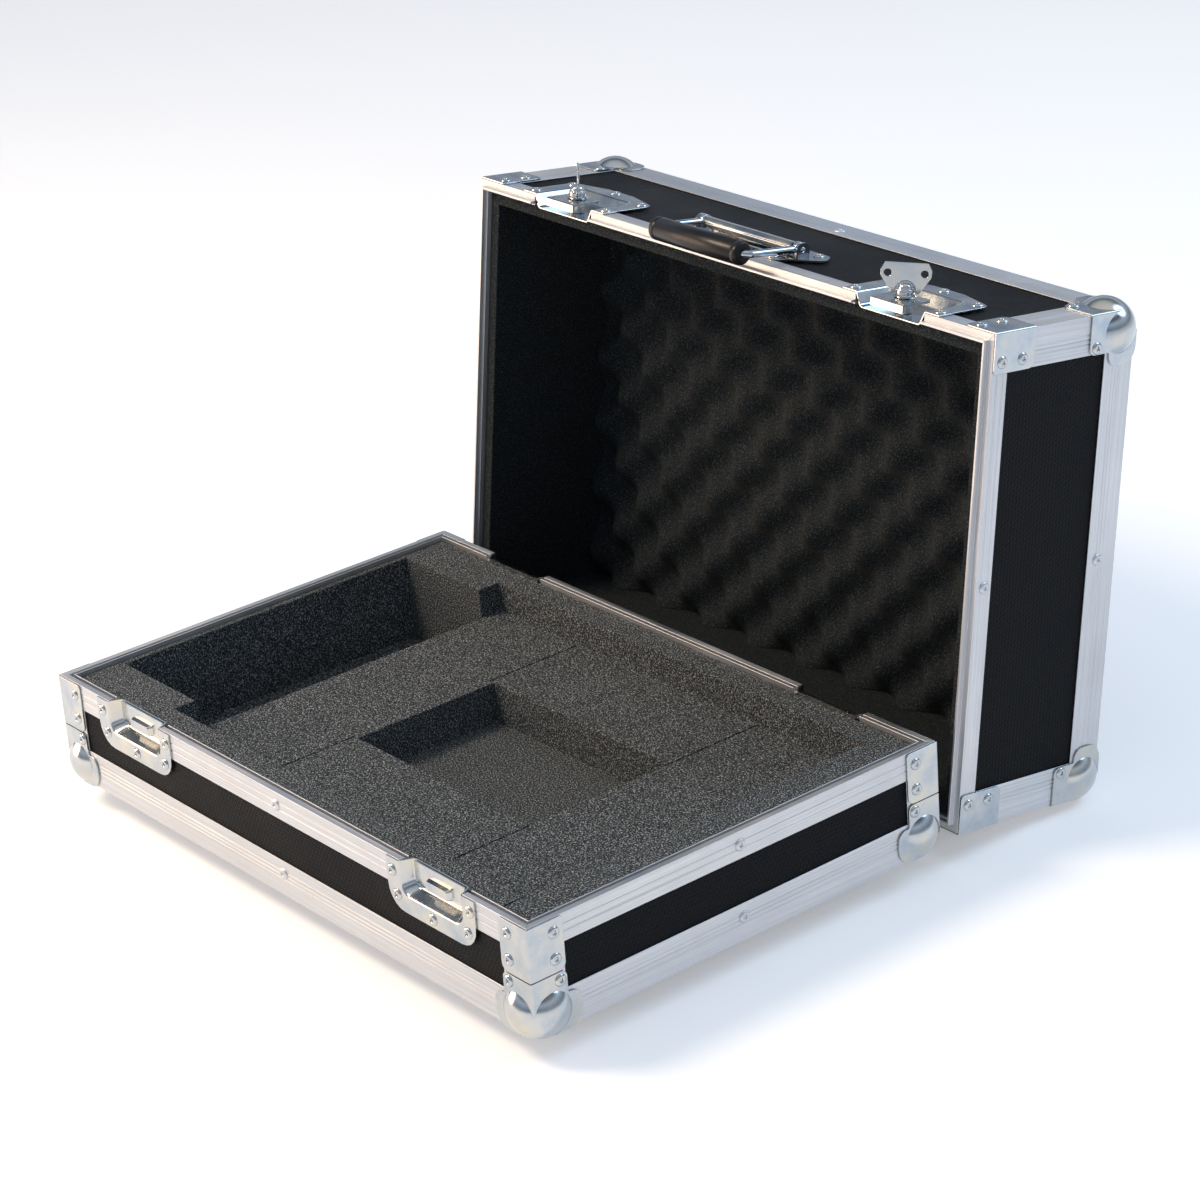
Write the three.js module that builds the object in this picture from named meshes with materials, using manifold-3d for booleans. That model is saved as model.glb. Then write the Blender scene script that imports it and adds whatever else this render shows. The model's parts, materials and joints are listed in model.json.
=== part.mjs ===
// Flight case with a lift-off lid, in millimetres, +Z up, resting on its rubber feet.
// A shallow foam-lined base tray and a deeper lid are built the same way: laminate-faced plywood
// panels slotted into aluminium extrusions, steel ball corners and corner braces, pop rivets.
// The lid stands open behind the base, on its ball corners and on the wings of its back latches.
import * as THREE from "three";
import { mergeVertices } from "three/addons/utils/BufferGeometryUtils.js";
import Module from "manifold-3d";

// Case body
const LENGTH = 600;
const DEPTH = 386;
const BASE_HEIGHT = 88;
const LID_HEIGHT = 149;
const FOOT_HEIGHT = 23.5;
// How the lid stands: its lower rim corner behind the base's front, above the base's underside
const LID_CORNER_Y = 405.6;
const LID_CORNER_Z = 3.1;
const LID_TILT = 7.97;

// Wall build-up: 1 mm extrusion, plywood, 1 mm extrusion, with assembly gaps
const WALL = 9;
const SHEET = 1;
const GAP = 0.3;
const PLATE = 1.2;
const ANGLE_LEG = 30;
const CORNER_NOTCH = 16;
const INNER_LEG = 9.5;

// Rim extrusions: outer leg, solid head, rivet height, and the groove or tongue along them
const BASE_RIM = { leg: 22, head: 6.5, rivet: 11, groove: [5, 8, 5] };
const LID_RIM = { leg: 16, head: 2, rivet: 8.8, tongue: [5.3, 7.7, 4.2] };
const ANGLE_RIVET = 19;

// Steel corner hardware: rivet heights are measured from the rim (brace) or closed face (ball)
const RIVET_RADIUS = 4.8;
const RIVET_HEIGHT = 1.6;
const BRACE = { wide: 30, long: 42, rivetIn: 21.5 };
const BALL = { radius: 24, centre: 16, lobe: 42, lobeHigh: 27 };

// Recessed butterfly latches in the lid and keepers in the base, two on each long side
const LATCH_X = 192;
const DISH_HALF = 36;
const DISH_FLOOR = 9.2;
const KEEPER_DISH = 25.6;
const LATCH_DISH = 46;
const PLATE_HALF = 51;
const SPINDLE_IN = 15;
const WING_PIVOT = 7.4;
const WING_SIZE = { half: 19, high: 21.2, thick: 1.6 };

// Sprung handle between the front latches
const HANDLE = { pivotIn: 34, pivotOut: 8.5, gripOut: 10.2, gripBeyond: 20, arm: 55, ear: 59 };
const ROD_RADIUS = 3;
const PIN_RADIUS = 2.5;
const GRIP = { half: 51, radius: 9.4 };

// Foam: gap to the rims, lining, egg-crate layer, and the levels cut into the base block
const FOAM_BELOW_RIM = 4;
const LINING = 10;
const EGG_CRATE_TOP = 38;
// Each recess in the base foam: [x0, x1, y0, y1, floor]
const LONG_SLOT = [-285, -184, -141, 141, 10];
const MAIN_RECESS = [-184.1, 258, -160.5, 162, 58.5];
const POCKET = [-77, 137, -63.5, 70.5, 24];

// Feet, set in from the edges of the base
const FOOT_INSET = 75;
const FOOT_PROFILE = [
  [0, -FOOT_HEIGHT],
  [16, -FOOT_HEIGHT],
  [19, 1],
  [0, 1],
];

const wasm = await Module();
wasm.setup();

const finish = (color, roughness, metalness) =>
  new THREE.MeshStandardMaterial({ color, roughness, metalness });
const aluminium = finish(0xbab8b8, 0.38, 1);
const zinc = finish(0xc3c9d0, 0.22, 1);
const laminate = finish(0x17181b, 0.6, 0);
const foam = finish(0x2c2e2f, 0.95, 0);
const rubber = finish(0x131313, 0.85, 0);
const pvc = finish(0x0c0d0f, 0.3, 0);

// Solids: a closed geometry, optionally moved, as something that can be joined and cut
function solid(geometry, matrix) {
  const bare = geometry.index ? geometry.toNonIndexed() : geometry.clone();
  bare.deleteAttribute("normal");
  bare.deleteAttribute("uv");
  if (matrix) bare.applyMatrix4(matrix);
  const merged = mergeVertices(bare, 1e-4);
  const triVerts = new Uint32Array(merged.index.array);
  const vertProperties = merged.attributes.position.array;
  const build = () =>
    new wasm.Manifold(new wasm.Mesh({ numProp: 3, vertProperties, triVerts }));
  if (build().volume() > 0) return build();
  for (let i = 0; i < triVerts.length; i += 3)
    [triVerts[i + 1], triVerts[i + 2]] = [triVerts[i + 2], triVerts[i + 1]];
  return build();
}

const join = (...parts) => parts.reduce((whole, part) => whole.add(part));
const cut = (whole, ...parts) => parts.reduce((left, part) => left.subtract(part), whole);

function box(x0, x1, y0, y1, z0, z1) {
  const geometry = new THREE.BoxGeometry(x1 - x0, y1 - y0, z1 - z0);
  return solid(geometry.translate((x0 + x1) / 2, (y0 + y1) / 2, (z0 + z1) / 2));
}

// A box over the tray's footprint, drawn in from its outer faces
function block(inset, z0, z1) {
  const x = LENGTH / 2 - inset;
  const y = DEPTH / 2 - inset;
  return box(-x, x, -y, y, z0, z1);
}

// A rectangular frustum between two levels, each end given as [x0, x1, y0, y1]
function frustum(low, z0, high, z1) {
  const geometry = new THREE.BoxGeometry(2, 2, 2);
  const position = geometry.attributes.position;
  for (let i = 0; i < position.count; i++) {
    const end = position.getZ(i) < 0 ? low : high;
    position.setXYZ(
      i,
      end[position.getX(i) < 0 ? 0 : 1],
      end[position.getY(i) < 0 ? 2 : 3],
      position.getZ(i) < 0 ? z0 : z1,
    );
  }
  return solid(geometry);
}

// A flat plate with rounded corners: points are [x, y, corner radius]
function plate(points, z0, z1, holes = [], matrix) {
  const shape = new THREE.Shape();
  const count = points.length;
  points.forEach(([x, y, r = 0], i) => {
    const here = new THREE.Vector2(x, y);
    const before = new THREE.Vector2(...points[(i + count - 1) % count]).sub(here);
    const after = new THREE.Vector2(...points[(i + 1) % count]).sub(here);
    const start = here.clone().addScaledVector(before.normalize(), r);
    const end = here.clone().addScaledVector(after.normalize(), r);
    if (i === 0) shape.moveTo(start.x, start.y);
    else shape.lineTo(start.x, start.y);
    if (r) shape.quadraticCurveTo(x, y, end.x, end.y);
  });
  shape.closePath();
  for (const [x, y, r] of holes) {
    shape.holes.push(new THREE.Path().absarc(x, y, r, 0, 2 * Math.PI, true));
  }
  const options = { depth: z1 - z0, bevelEnabled: false, curveSegments: 3 };
  const geometry = new THREE.ExtrudeGeometry(shape, options).translate(0, 0, z0);
  return solid(geometry, matrix);
}

// A round solid about a line along Z, X or Y, from a profile of [radius, height] points
function turned(profile, segments, matrix) {
  const points = profile.map(([r, h]) => new THREE.Vector2(r, h));
  const geometry = new THREE.LatheGeometry(points, segments).rotateX(Math.PI / 2);
  return solid(geometry, matrix);
}

const moved = (x, y, z) => new THREE.Matrix4().makeTranslation(x, y, z);
const ALONG_X = new THREE.Matrix4().makeRotationY(Math.PI / 2);
const ALONG_Y = new THREE.Matrix4().makeRotationX(-Math.PI / 2);
const ONTO_Y_FACE = new THREE.Matrix4().makeRotationX(Math.PI / 2);
const SWAP_XY = new THREE.Matrix4().set(0, 1, 0, 0, 1, 0, 0, 0, 0, 0, 1, 0, 0, 0, 0, 1);

const HEAD_PROFILE = [
  [0, -0.5],
  [RIVET_RADIUS, -0.5],
  [RIVET_RADIUS * 0.6, RIVET_HEIGHT],
  [0, RIVET_HEIGHT],
];
const rivetHead = (matrix) => turned(HEAD_PROFILE, 8, matrix);

// A rivet head on one of a tray's upright sides, 0 front (-Y), then round to 3, the left
function sideRivet(side, along, z) {
  const half = side % 2 ? LENGTH / 2 : DEPTH / 2;
  const turn = new THREE.Matrix4().makeRotationZ((side * Math.PI) / 2);
  return rivetHead(turn.multiply(moved(along, -half, z)).multiply(ONTO_Y_FACE));
}

function mesh(name, shape, material, parent) {
  const { vertProperties, triVerts } = shape.getMesh();
  const geometry = new THREE.BufferGeometry();
  geometry.setAttribute("position", new THREE.BufferAttribute(vertProperties, 3));
  geometry.setIndex(new THREE.BufferAttribute(triVerts, 1));
  geometry.computeVertexNormals();
  const made = new THREE.Mesh(geometry, material);
  made.name = name;
  parent.add(made);
  return made;
}

// Notches at the four closed corners, which the ball corners fill
function cornerNotches() {
  const notches = [];
  for (const x of [-1, 1])
    for (const y of [-1, 1]) {
      const cx = (x * LENGTH) / 2;
      const cy = (y * DEPTH) / 2;
      const n = CORNER_NOTCH;
      notches.push(box(cx - n, cx + n, cy - n, cy + n, -n, n));
    }
  return notches;
}

// Openings through both long walls, down from the rim, for latches or keepers
function latchWindows(half, bottom, top) {
  return [-LATCH_X, LATCH_X].map((x) => box(x - half, x + half, -DEPTH, DEPTH, bottom, top));
}

function edgeFrame(height, rim) {
  const top = height - rim.leg - GAP;
  const open = top + 1;
  const x = LENGTH / 2 - ANGLE_LEG;
  const y = DEPTH / 2 - ANGLE_LEG;
  const shell = cut(
    block(0, 0, top),
    block(SHEET, SHEET, open),
    box(-x, x, -y, y, -1, open),
    box(-x, x, -DEPTH, DEPTH, ANGLE_LEG, open),
    box(-LENGTH, LENGTH, -y, y, ANGLE_LEG, open),
    ...cornerNotches(),
  );
  const under = new THREE.Matrix4().makeRotationX(Math.PI);
  const edge = DEPTH / 2 - ANGLE_RIVET;
  const end = LENGTH / 2 - ANGLE_RIVET;
  const heads = [0, 1, 2, 3].map((side) => sideRivet(side, 0, ANGLE_RIVET));
  for (const [rx, ry] of [[0, -edge], [0, edge], [-end, 0], [end, 0]]) {
    heads.push(rivetHead(moved(rx, ry, 0).multiply(under)));
  }
  return join(shell, ...heads);
}

function rimRing(height, rim) {
  const neck = height - rim.head;
  let ring = join(
    cut(block(0, neck, height), block(WALL, neck - 1, height + 1)),
    cut(block(0, height - rim.leg, neck + 0.1), block(SHEET, 0, height)),
    cut(block(WALL - SHEET, neck - INNER_LEG, neck + 0.1), block(WALL, 0, height)),
  );
  if (rim.groove) {
    const [outer, inner, deep] = rim.groove;
    const channel = cut(block(outer, height - deep, height + 1), block(inner, 0, height + 2));
    ring = cut(ring, channel);
  }
  if (rim.tongue) {
    const [outer, inner, tall] = rim.tongue;
    ring = join(ring, cut(block(outer, neck, height + tall), block(inner, 0, height + 9)));
  }
  return cut(ring, ...latchWindows(DISH_HALF + 0.5, 0, height + 9));
}

function corner(x, y) {
  const group = new THREE.Group();
  group.position.set((x * LENGTH) / 2, (y * DEPTH) / 2, 0);
  const turns = { "-1,-1": 0, "1,-1": 1, "1,1": 2, "-1,1": 3 };
  group.rotation.z = (turns[`${x},${y}`] * Math.PI) / 2;
  return group;
}

// Both faces of a corner piece: a plate in X and Z on the Y face, and its twin on the X face
function cornerPlates(outline, rivets) {
  const onFace = new THREE.Matrix4().multiply(moved(0, -GAP, 0)).multiply(ONTO_Y_FACE);
  const face = plate(outline, 0, PLATE, [], onFace);
  const twin = plate(outline, 0, PLATE, [], SWAP_XY.clone().multiply(onFace));
  const heads = rivets.flatMap(([x, z]) => {
    const at = moved(x, -GAP - PLATE, z).multiply(ONTO_Y_FACE);
    return [rivetHead(at), rivetHead(SWAP_XY.clone().multiply(at))];
  });
  return join(face, twin, ...heads);
}

// An angle brace folded over an upright edge at the rim, measured down from it
function brace(rivetsDown) {
  const edge = -GAP - PLATE;
  const outline = [
    [edge, -BRACE.long],
    [BRACE.wide, -BRACE.long, 6],
    [BRACE.wide, -0.3, 3],
    [edge, -0.3],
  ];
  return cornerPlates(outline, rivetsDown.map((down) => [BRACE.rivetIn, -down]));
}

// A pressed ball corner: a ball that fills the notch, with a winged plate on each face
function ballCorner(legHigh, rivetIn, rivetHigh) {
  const { radius, centre, lobe, lobeHigh } = BALL;
  const edge = -GAP - PLATE;
  const sphere = solid(new THREE.SphereGeometry(radius, 18, 10), moved(centre, centre, centre));
  const far = 2 * lobe;
  const inNotch = CORNER_NOTCH - GAP;
  const caseCorner = cut(
    box(-GAP, far, -GAP, far, -GAP, far),
    box(-far, inNotch, -far, inNotch, -far, inNotch),
  );
  const wing = [
    [edge, edge],
    [lobe, edge, 14],
    [lobe - 2, lobeHigh, 12],
    [ANGLE_LEG, lobeHigh, 2],
    [ANGLE_LEG, legHigh, 5],
    [edge, legHigh],
  ];
  const soleOutline = [
    [edge, edge],
    [lobe, edge, 14],
    [lobe - 8, lobe - 8, 8],
    [edge, lobe, 14],
  ];
  const wings = join(cornerPlates(wing, [[rivetIn, rivetHigh]]), plate(soleOutline, edge, -GAP));
  const underBall = box(-far, centre, -far, centre, -far, centre);
  return cut(join(cut(wings, underBall), sphere), caseCorner);
}

// The base or the lid without its latches and foam: z = 0 is the closed face, z = height the rim
function tray(prefix, height, rim, dish, braceRivets, ball, frontY) {
  const group = new THREE.Group();
  const wallTop = height - rim.head - GAP;
  const inner = WALL - SHEET - GAP;
  const closed = prefix === "base" ? "floor_panel" : "top_panel";
  const notches = cornerNotches();
  const panel = block(SHEET + GAP, SHEET + GAP, inner);
  mesh(`${prefix}_${closed}`, cut(panel, ...notches), laminate, group);
  const walls = cut(block(SHEET + GAP, inner + GAP, wallTop), block(inner, 0, height));
  const windows = latchWindows(DISH_HALF + 1, height - dish - 1.5, height);
  mesh(`${prefix}_wall_panels`, cut(walls, ...notches, ...windows), laminate, group);
  mesh(`${prefix}_edge_frame`, edgeFrame(height, rim), aluminium, group);

  const ring = rimRing(height, rim);
  const rivetZ = height - rim.rivet;
  const middle = LATCH_X - 20;
  const low = -DEPTH;
  const high = height + 9;
  const lengths = {
    left: [box(-LENGTH, -LATCH_X, low, DEPTH, 0, high), 3],
    right: [box(LATCH_X, LENGTH, low, DEPTH, 0, high), 1],
    [frontY < 0 ? "front" : "back"]: [box(-middle, middle, low, 0, 0, high), 0],
    [frontY < 0 ? "back" : "front"]: [box(-middle, middle, 0, DEPTH, 0, high), 2],
  };
  for (const [place, [region, side]] of Object.entries(lengths)) {
    const length = join(ring.intersect(region), sideRivet(side, 0, rivetZ));
    mesh(`${prefix}_rim_${place}`, length, aluminium, group);
  }

  for (const x of [-1, 1])
    for (const y of [-1, 1]) {
      const place = `${y === frontY ? "front" : "back"}_${x < 0 ? "left" : "right"}`;
      const at = corner(x, y);
      const high = mesh(`${prefix}_brace_${place}`, brace(braceRivets), zinc, at);
      high.position.z = height;
      mesh(`${prefix}_ball_corner_${place}`, ballCorner(...ball), zinc, at);
      group.add(at);
    }
  return group;
}

// A frame on one long wall: X along it, Y out past the rim, Z out of the face
function wallFrame(parent, front, x, y, height) {
  const turn = new THREE.Group();
  turn.rotation.z = y < 0 ? 0 : Math.PI;
  const frame = new THREE.Group();
  frame.rotation.x = Math.PI / 2;
  frame.position.set(y < 0 ? x : -x, -DEPTH / 2, height);
  turn.add(frame);
  parent.add(turn);
  frame.userData.place = `${front ? "front" : "back"}_${x < 0 ? "left" : "right"}`;
  return frame;
}

// The plate and dish that a keeper and a latch share, open at the rim edge
function dishedPlate(outline, deep, rivets) {
  const out = GAP + PLATE;
  const narrow = DISH_HALF - 4.5;
  const wide = DISH_HALF;
  const back = -DISH_FLOOR - PLATE;
  const edge = -0.3;
  const outer = frustum([-narrow, narrow, 4 - deep, edge], back, [-wide, wide, -deep, edge], out);
  const slope = PLATE;
  const inner = frustum(
    [slope - narrow, narrow - slope, 4 - deep + slope, 9],
    -DISH_FLOOR,
    [slope - wide, wide - slope, slope - deep, 9],
    out + 1,
  );
  const sheet = plate(outline, GAP, out);
  const heads = rivets.map(([x, y]) => rivetHead(moved(x, y, out)));
  return join(cut(join(sheet, outer), inner), ...heads);
}

// A keeper: the plate and dish, with a louvred catch standing off the dish floor
function keeper() {
  const outline = [
    [-PLATE_HALF, -0.3],
    [-PLATE_HALF, -40, 19],
    [PLATE_HALF, -40, 19],
    [PLATE_HALF, -0.3],
  ];
  const rivets = [[-45, -10], [45, -10], [-41, -28.5], [41, -28.5], [0, -33.5]];
  const louvre = frustum([-17, 17, -21, -6.5], -DISH_FLOOR - 0.5, [-13, 13, -20, -12], -5.2);
  return join(dishedPlate(outline, KEEPER_DISH, rivets), louvre);
}

function latchPlate() {
  const outline = [
    [-PLATE_HALF, -0.3],
    [-PLATE_HALF, -52, 7],
    [-16, -62, 8],
    [16, -62, 8],
    [PLATE_HALF, -52, 7],
    [PLATE_HALF, -0.3],
  ];
  const rivets = [[-45, -8], [45, -8], [-44, -47], [44, -47], [0, -56]];
  return dishedPlate(outline, LATCH_DISH, rivets);
}

// The hook: a forked strip round the spindle's neck, turned down at its nose
function hook() {
  const strip = box(-17, 17, -26, 3.5, -0.6, 2.4);
  const nose = box(-17, 17, 0.5, 3.5, -4.6, 2.4);
  return cut(join(strip, nose), box(-5, 5, -30, -8, -2, 4));
}

const SPINDLE_PROFILE = [
  [0, -8.8],
  [6.5, -8.8],
  [6.5, -1],
  [4.4, -1],
  [4.4, 2.8],
  [8.2, 2.8],
  [8.2, 4.6],
  [7, 5.2],
  [7, 8.8],
  [5.6, 11.3],
  [3, 13.1],
  [0, 13.7],
];

// The wing: a butterfly plate standing on its pivot, arched over the spindle's head
function wing() {
  const { half, high, thick } = WING_SIZE;
  const outline = [
    [-11, -1.2, 1],
    [11, -1.2, 1],
    [half, 11, 2],
    [half, 15.5, 2],
    [half - 3, high, 1.5],
    [3 - half, high, 1.5],
    [-half, 15.5, 2],
    [-half, 11, 2],
  ];
  const upright = new THREE.Matrix4().makeRotationX(Math.PI / 2);
  const butterfly = plate(outline, -thick / 2, thick / 2, [[-13.7, 13, 3], [13.7, 13, 3]], upright);
  const arch = turned([[0, -9], [7.8, -9], [7.8, 9], [0, 9]], 16, ALONG_Y);
  return cut(butterfly, arch);
}

// One latch on a wall frame: spin turns its spindle, fold lays its wing over from upright
function addLatch(frame, spin, fold) {
  const { place } = frame.userData;
  mesh(`latch_plate_${place}`, latchPlate(), zinc, frame);
  mesh(`latch_hook_${place}`, hook(), zinc, frame);
  const turning = new THREE.Group();
  turning.position.y = -SPINDLE_IN;
  turning.rotation.z = THREE.MathUtils.degToRad(spin);
  mesh(`latch_spindle_${place}`, turned(SPINDLE_PROFILE, 16), zinc, turning);
  const flap = mesh(`latch_wing_${place}`, wing(), zinc, turning);
  flap.position.z = WING_PIVOT;
  flap.rotation.x = THREE.MathUtils.degToRad(fold);
  frame.add(turning);
}

const rod = (radius, x0, x1, y, z) =>
  turned([[0, x0], [radius, x0], [radius, x1], [0, x1]], 12, moved(0, y, z).multiply(ALONG_X));

// The handle: a riveted plate with a curled barrel and two ears, a pin, a bail and its grip
function addHandle(frame) {
  const { pivotIn, pivotOut, gripOut, gripBeyond, arm, ear } = HANDLE;
  const out = GAP + PLATE;
  const outline = [
    [-46, -14, 6],
    [46, -14, 6],
    [76, -45, 8],
    [66, -58, 8],
    [-66, -58, 8],
    [-76, -45, 8],
  ];
  const barrelHalf = arm - 5;
  const barrel = join(
    rod(4.6, -barrelHalf, barrelHalf, -pivotIn, pivotOut),
    box(-barrelHalf, barrelHalf, -pivotIn - 4.6, -pivotIn - 2.2, 0.5, pivotOut),
  );
  const lug = [[-7, 0], [7, 0], [7, 13, 7], [-7, 13, 7]];
  const ears = [-1, 1].map((side) => {
    const at = moved(side * ear - 1, -pivotIn, 0.6).multiply(ALONG_X).multiply(
      new THREE.Matrix4().makeRotationZ(Math.PI / 2),
    );
    return plate(lug, 0, 2, [], at);
  });
  const heads = [-60, 0, 60].map((x) => rivetHead(moved(x, -51, out)));
  heads.push(...[-42, 0, 42].map((x) => rivetHead(moved(x, -19, out))));
  const bore = rod(PIN_RADIUS + 0.4, -ear - 5, ear + 5, -pivotIn, pivotOut);
  const body = join(plate(outline, GAP, out), barrel, ...ears, ...heads);
  mesh("handle_plate", cut(body, bore), zinc, frame);

  const pin = rod(PIN_RADIUS, -ear - 1.5, ear + 1.5, 0, 0);
  mesh("handle_pin", pin, zinc, frame).position.set(0, -pivotIn, pivotOut);

  const swing = new THREE.Group();
  swing.position.set(0, -pivotIn, pivotOut);
  frame.add(swing);
  const reach = pivotIn + gripBeyond;
  const rise = gripOut - pivotOut;
  const slope = Math.atan2(rise, reach);
  const run = Math.hypot(reach, rise);
  const sides = [-arm, arm].map((x) => {
    const leaning = new THREE.Matrix4().makeRotationX(slope - Math.PI / 2);
    const lean = moved(x, 0, 0).multiply(leaning);
    return join(
      turned([[0, 3], [ROD_RADIUS, 3], [ROD_RADIUS, run], [0, run]], 12, lean),
      rod(5.6, x - 2.4, x + 2.4, 0, 0),
      solid(new THREE.SphereGeometry(ROD_RADIUS, 12, 8), moved(x, reach, rise)),
    );
  });
  const bar = rod(ROD_RADIUS, -arm, arm, reach, rise);
  const eyes = rod(PIN_RADIUS + 0.4, -arm - 5, arm + 5, 0, 0);
  mesh("handle_bail", cut(join(bar, ...sides), eyes), zinc, swing);
  const { half, radius } = GRIP;
  const bored = ROD_RADIUS + GAP;
  const profile = [
    [bored, -half],
    [radius - 2, -half],
    [radius, 2 - half],
    [radius, half - 2],
    [radius - 2, half],
    [bored, half],
    [bored, -half],
  ];
  mesh("handle_grip", turned(profile, 20, moved(0, reach, rise).multiply(ALONG_X)), pvc, swing);
}

// Shallow reliefs in a foam block behind the dishes of both long walls
function dishReliefs(height, deep) {
  const outer = DEPTH / 2 - WALL;
  const half = DISH_HALF + 1;
  const z0 = height - deep - 2;
  return [-LATCH_X, LATCH_X].flatMap((x) => [
    box(x - half, x + half, -outer - 1, -outer + 2, z0, height + 1),
    box(x - half, x + half, outer - 2, outer + 1, z0, height + 1),
  ]);
}

function baseFoam() {
  const top = BASE_HEIGHT - FOAM_BELOW_RIM;
  const recesses = [LONG_SLOT, MAIN_RECESS, POCKET].map(([x0, x1, y0, y1, floor]) =>
    box(x0, x1, y0, y1, floor, top + 1),
  );
  return cut(
    block(WALL + GAP, WALL - SHEET, top),
    ...recesses,
    ...cornerNotches(),
    ...dishReliefs(BASE_HEIGHT, KEEPER_DISH),
  );
}

function lidFoam() {
  const top = LID_HEIGHT - FOAM_BELOW_RIM;
  return cut(
    block(WALL + GAP, WALL - SHEET, top),
    block(WALL + GAP + LINING, EGG_CRATE_TOP, top + 1),
    ...cornerNotches(),
    ...dishReliefs(LID_HEIGHT, LATCH_DISH),
  );
}

const flightCase = new THREE.Group();

const base = tray("base", BASE_HEIGHT, BASE_RIM, KEEPER_DISH, [10.6, 31.3], [45.3, 24, 39], -1);
mesh("base_foam", baseFoam(), foam, base);
for (const x of [-LATCH_X, LATCH_X])
  for (const y of [-1, 1]) {
    const frame = wallFrame(base, y < 0, x, y, BASE_HEIGHT);
    mesh(`keeper_${frame.userData.place}`, keeper(), zinc, frame);
  }
for (const x of [-1, 1])
  for (const y of [-1, 1]) {
    const place = `${y < 0 ? "front" : "back"}_${x < 0 ? "left" : "right"}`;
    const foot = mesh(`foot_${place}`, turned(FOOT_PROFILE, 24), rubber, base);
    foot.position.set(x * (LENGTH / 2 - FOOT_INSET), y * (DEPTH / 2 - FOOT_INSET), 0);
  }
flightCase.add(base);

// The lid's own frame has its closed face at z = 0 and its front wall on +Y, which stands on top
const lid = tray("lid", LID_HEIGHT, LID_RIM, LATCH_DISH, [8.4, 29.4], [48, 25, 41], 1);
mesh("lid_foam", lidFoam(), foam, lid);
const FRONT_SPIN = { left: -38, right: 45 };
for (const x of [-LATCH_X, LATCH_X]) {
  const spin = x < 0 ? FRONT_SPIN.left : FRONT_SPIN.right;
  addLatch(wallFrame(lid, true, x, 1, LID_HEIGHT), spin, 0);
  addLatch(wallFrame(lid, false, x, -1, LID_HEIGHT), 0, 50);
}
addHandle(wallFrame(lid, true, 0, 1, LID_HEIGHT));
const tilt = THREE.MathUtils.degToRad(90 - LID_TILT);
lid.rotation.x = tilt;
const rimCorner = new THREE.Vector3(0, -DEPTH / 2, LID_HEIGHT).applyEuler(lid.rotation);
lid.position.set(0, LID_CORNER_Y - DEPTH / 2, LID_CORNER_Z).sub(rimCorner);
flightCase.add(lid);

// The origin is the middle of the bounding box on the floor
const extent = new THREE.Box3().setFromObject(flightCase, true);
const middle = extent.getCenter(new THREE.Vector3());
flightCase.position.set(-middle.x, -middle.y, -extent.min.z);
const part = new THREE.Group();
part.add(flightCase);

export default part;
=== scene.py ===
import json
import math

import bmesh
import bpy
from mathutils import Matrix, Vector


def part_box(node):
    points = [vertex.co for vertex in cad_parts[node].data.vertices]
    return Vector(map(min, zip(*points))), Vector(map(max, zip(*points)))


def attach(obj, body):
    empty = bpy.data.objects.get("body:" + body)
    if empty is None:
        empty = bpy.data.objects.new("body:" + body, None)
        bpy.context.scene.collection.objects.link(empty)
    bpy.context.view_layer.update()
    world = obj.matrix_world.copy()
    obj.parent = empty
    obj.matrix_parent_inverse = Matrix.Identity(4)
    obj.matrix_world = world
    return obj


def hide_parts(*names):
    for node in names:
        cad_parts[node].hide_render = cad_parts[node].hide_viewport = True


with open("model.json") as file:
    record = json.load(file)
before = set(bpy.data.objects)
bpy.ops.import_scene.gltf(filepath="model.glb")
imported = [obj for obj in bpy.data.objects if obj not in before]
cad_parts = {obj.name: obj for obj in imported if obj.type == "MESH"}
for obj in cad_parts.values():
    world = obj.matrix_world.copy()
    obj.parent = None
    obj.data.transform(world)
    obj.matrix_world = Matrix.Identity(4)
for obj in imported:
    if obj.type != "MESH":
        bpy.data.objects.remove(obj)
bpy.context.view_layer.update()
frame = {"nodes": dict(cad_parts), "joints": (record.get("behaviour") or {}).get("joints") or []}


# ---- Laminated plywood panels
# The walls, floor and top of both trays are 6.4 mm birch plywood faced with a black phenolic
# film, which is pressed with a fine honeycomb. The angles and rims are riveted over their edges.
MM = 0.001
LENGTH, DEPTH = 600, 386
BASE_HEIGHT, LID_HEIGHT = 88, 149
PANEL_INSET = 1.3
PIN_IN, PIN_OUT = 34, 8.5

joint = {j["name"]: j for j in frame["joints"]}
floor_low, floor_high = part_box("base_floor_panel")
BASE = Matrix.Translation(
    (0, (floor_low.y + floor_high.y) / 2, floor_low.z - PANEL_INSET * MM)
) @ Matrix.Scale(MM, 4)

# The lid leans back: its own z runs from the closed face to the rim, its +y wall stands on top
top_wall = Vector(joint["spindle_turn_front_left"]["axis"])
lid_lean = math.atan2(top_wall.y, top_wall.z)
HANDLE_PIN = Vector((0, DEPTH / 2 + PIN_OUT, LID_HEIGHT - PIN_IN))
LID = (
    Matrix.Translation(joint["lid_turn"]["pos_m"])
    @ Matrix.Rotation(math.pi / 2 - lid_lean, 4, "X")
    @ Matrix.Scale(MM, 4)
    @ Matrix.Translation(-HANDLE_PIN)
)
TRAYS = {
    "base": (BASE, BASE_HEIGHT, {-1: "front", 1: "back"}),
    "lid": (LID, LID_HEIGHT, {-1: "back", 1: "front"}),
}


def new_material(name, colour, roughness, metallic=0.0):
    """A material with a Principled shader, whose own sockets hold what is even all over."""
    material = bpy.data.materials.new(name)
    material.use_nodes = True
    shader = material.node_tree.nodes["Principled BSDF"]
    shader.inputs["Base Color"].default_value = (*colour, 1)
    shader.inputs["Roughness"].default_value = roughness
    shader.inputs["Metallic"].default_value = metallic
    return material, material.node_tree, shader


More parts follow.
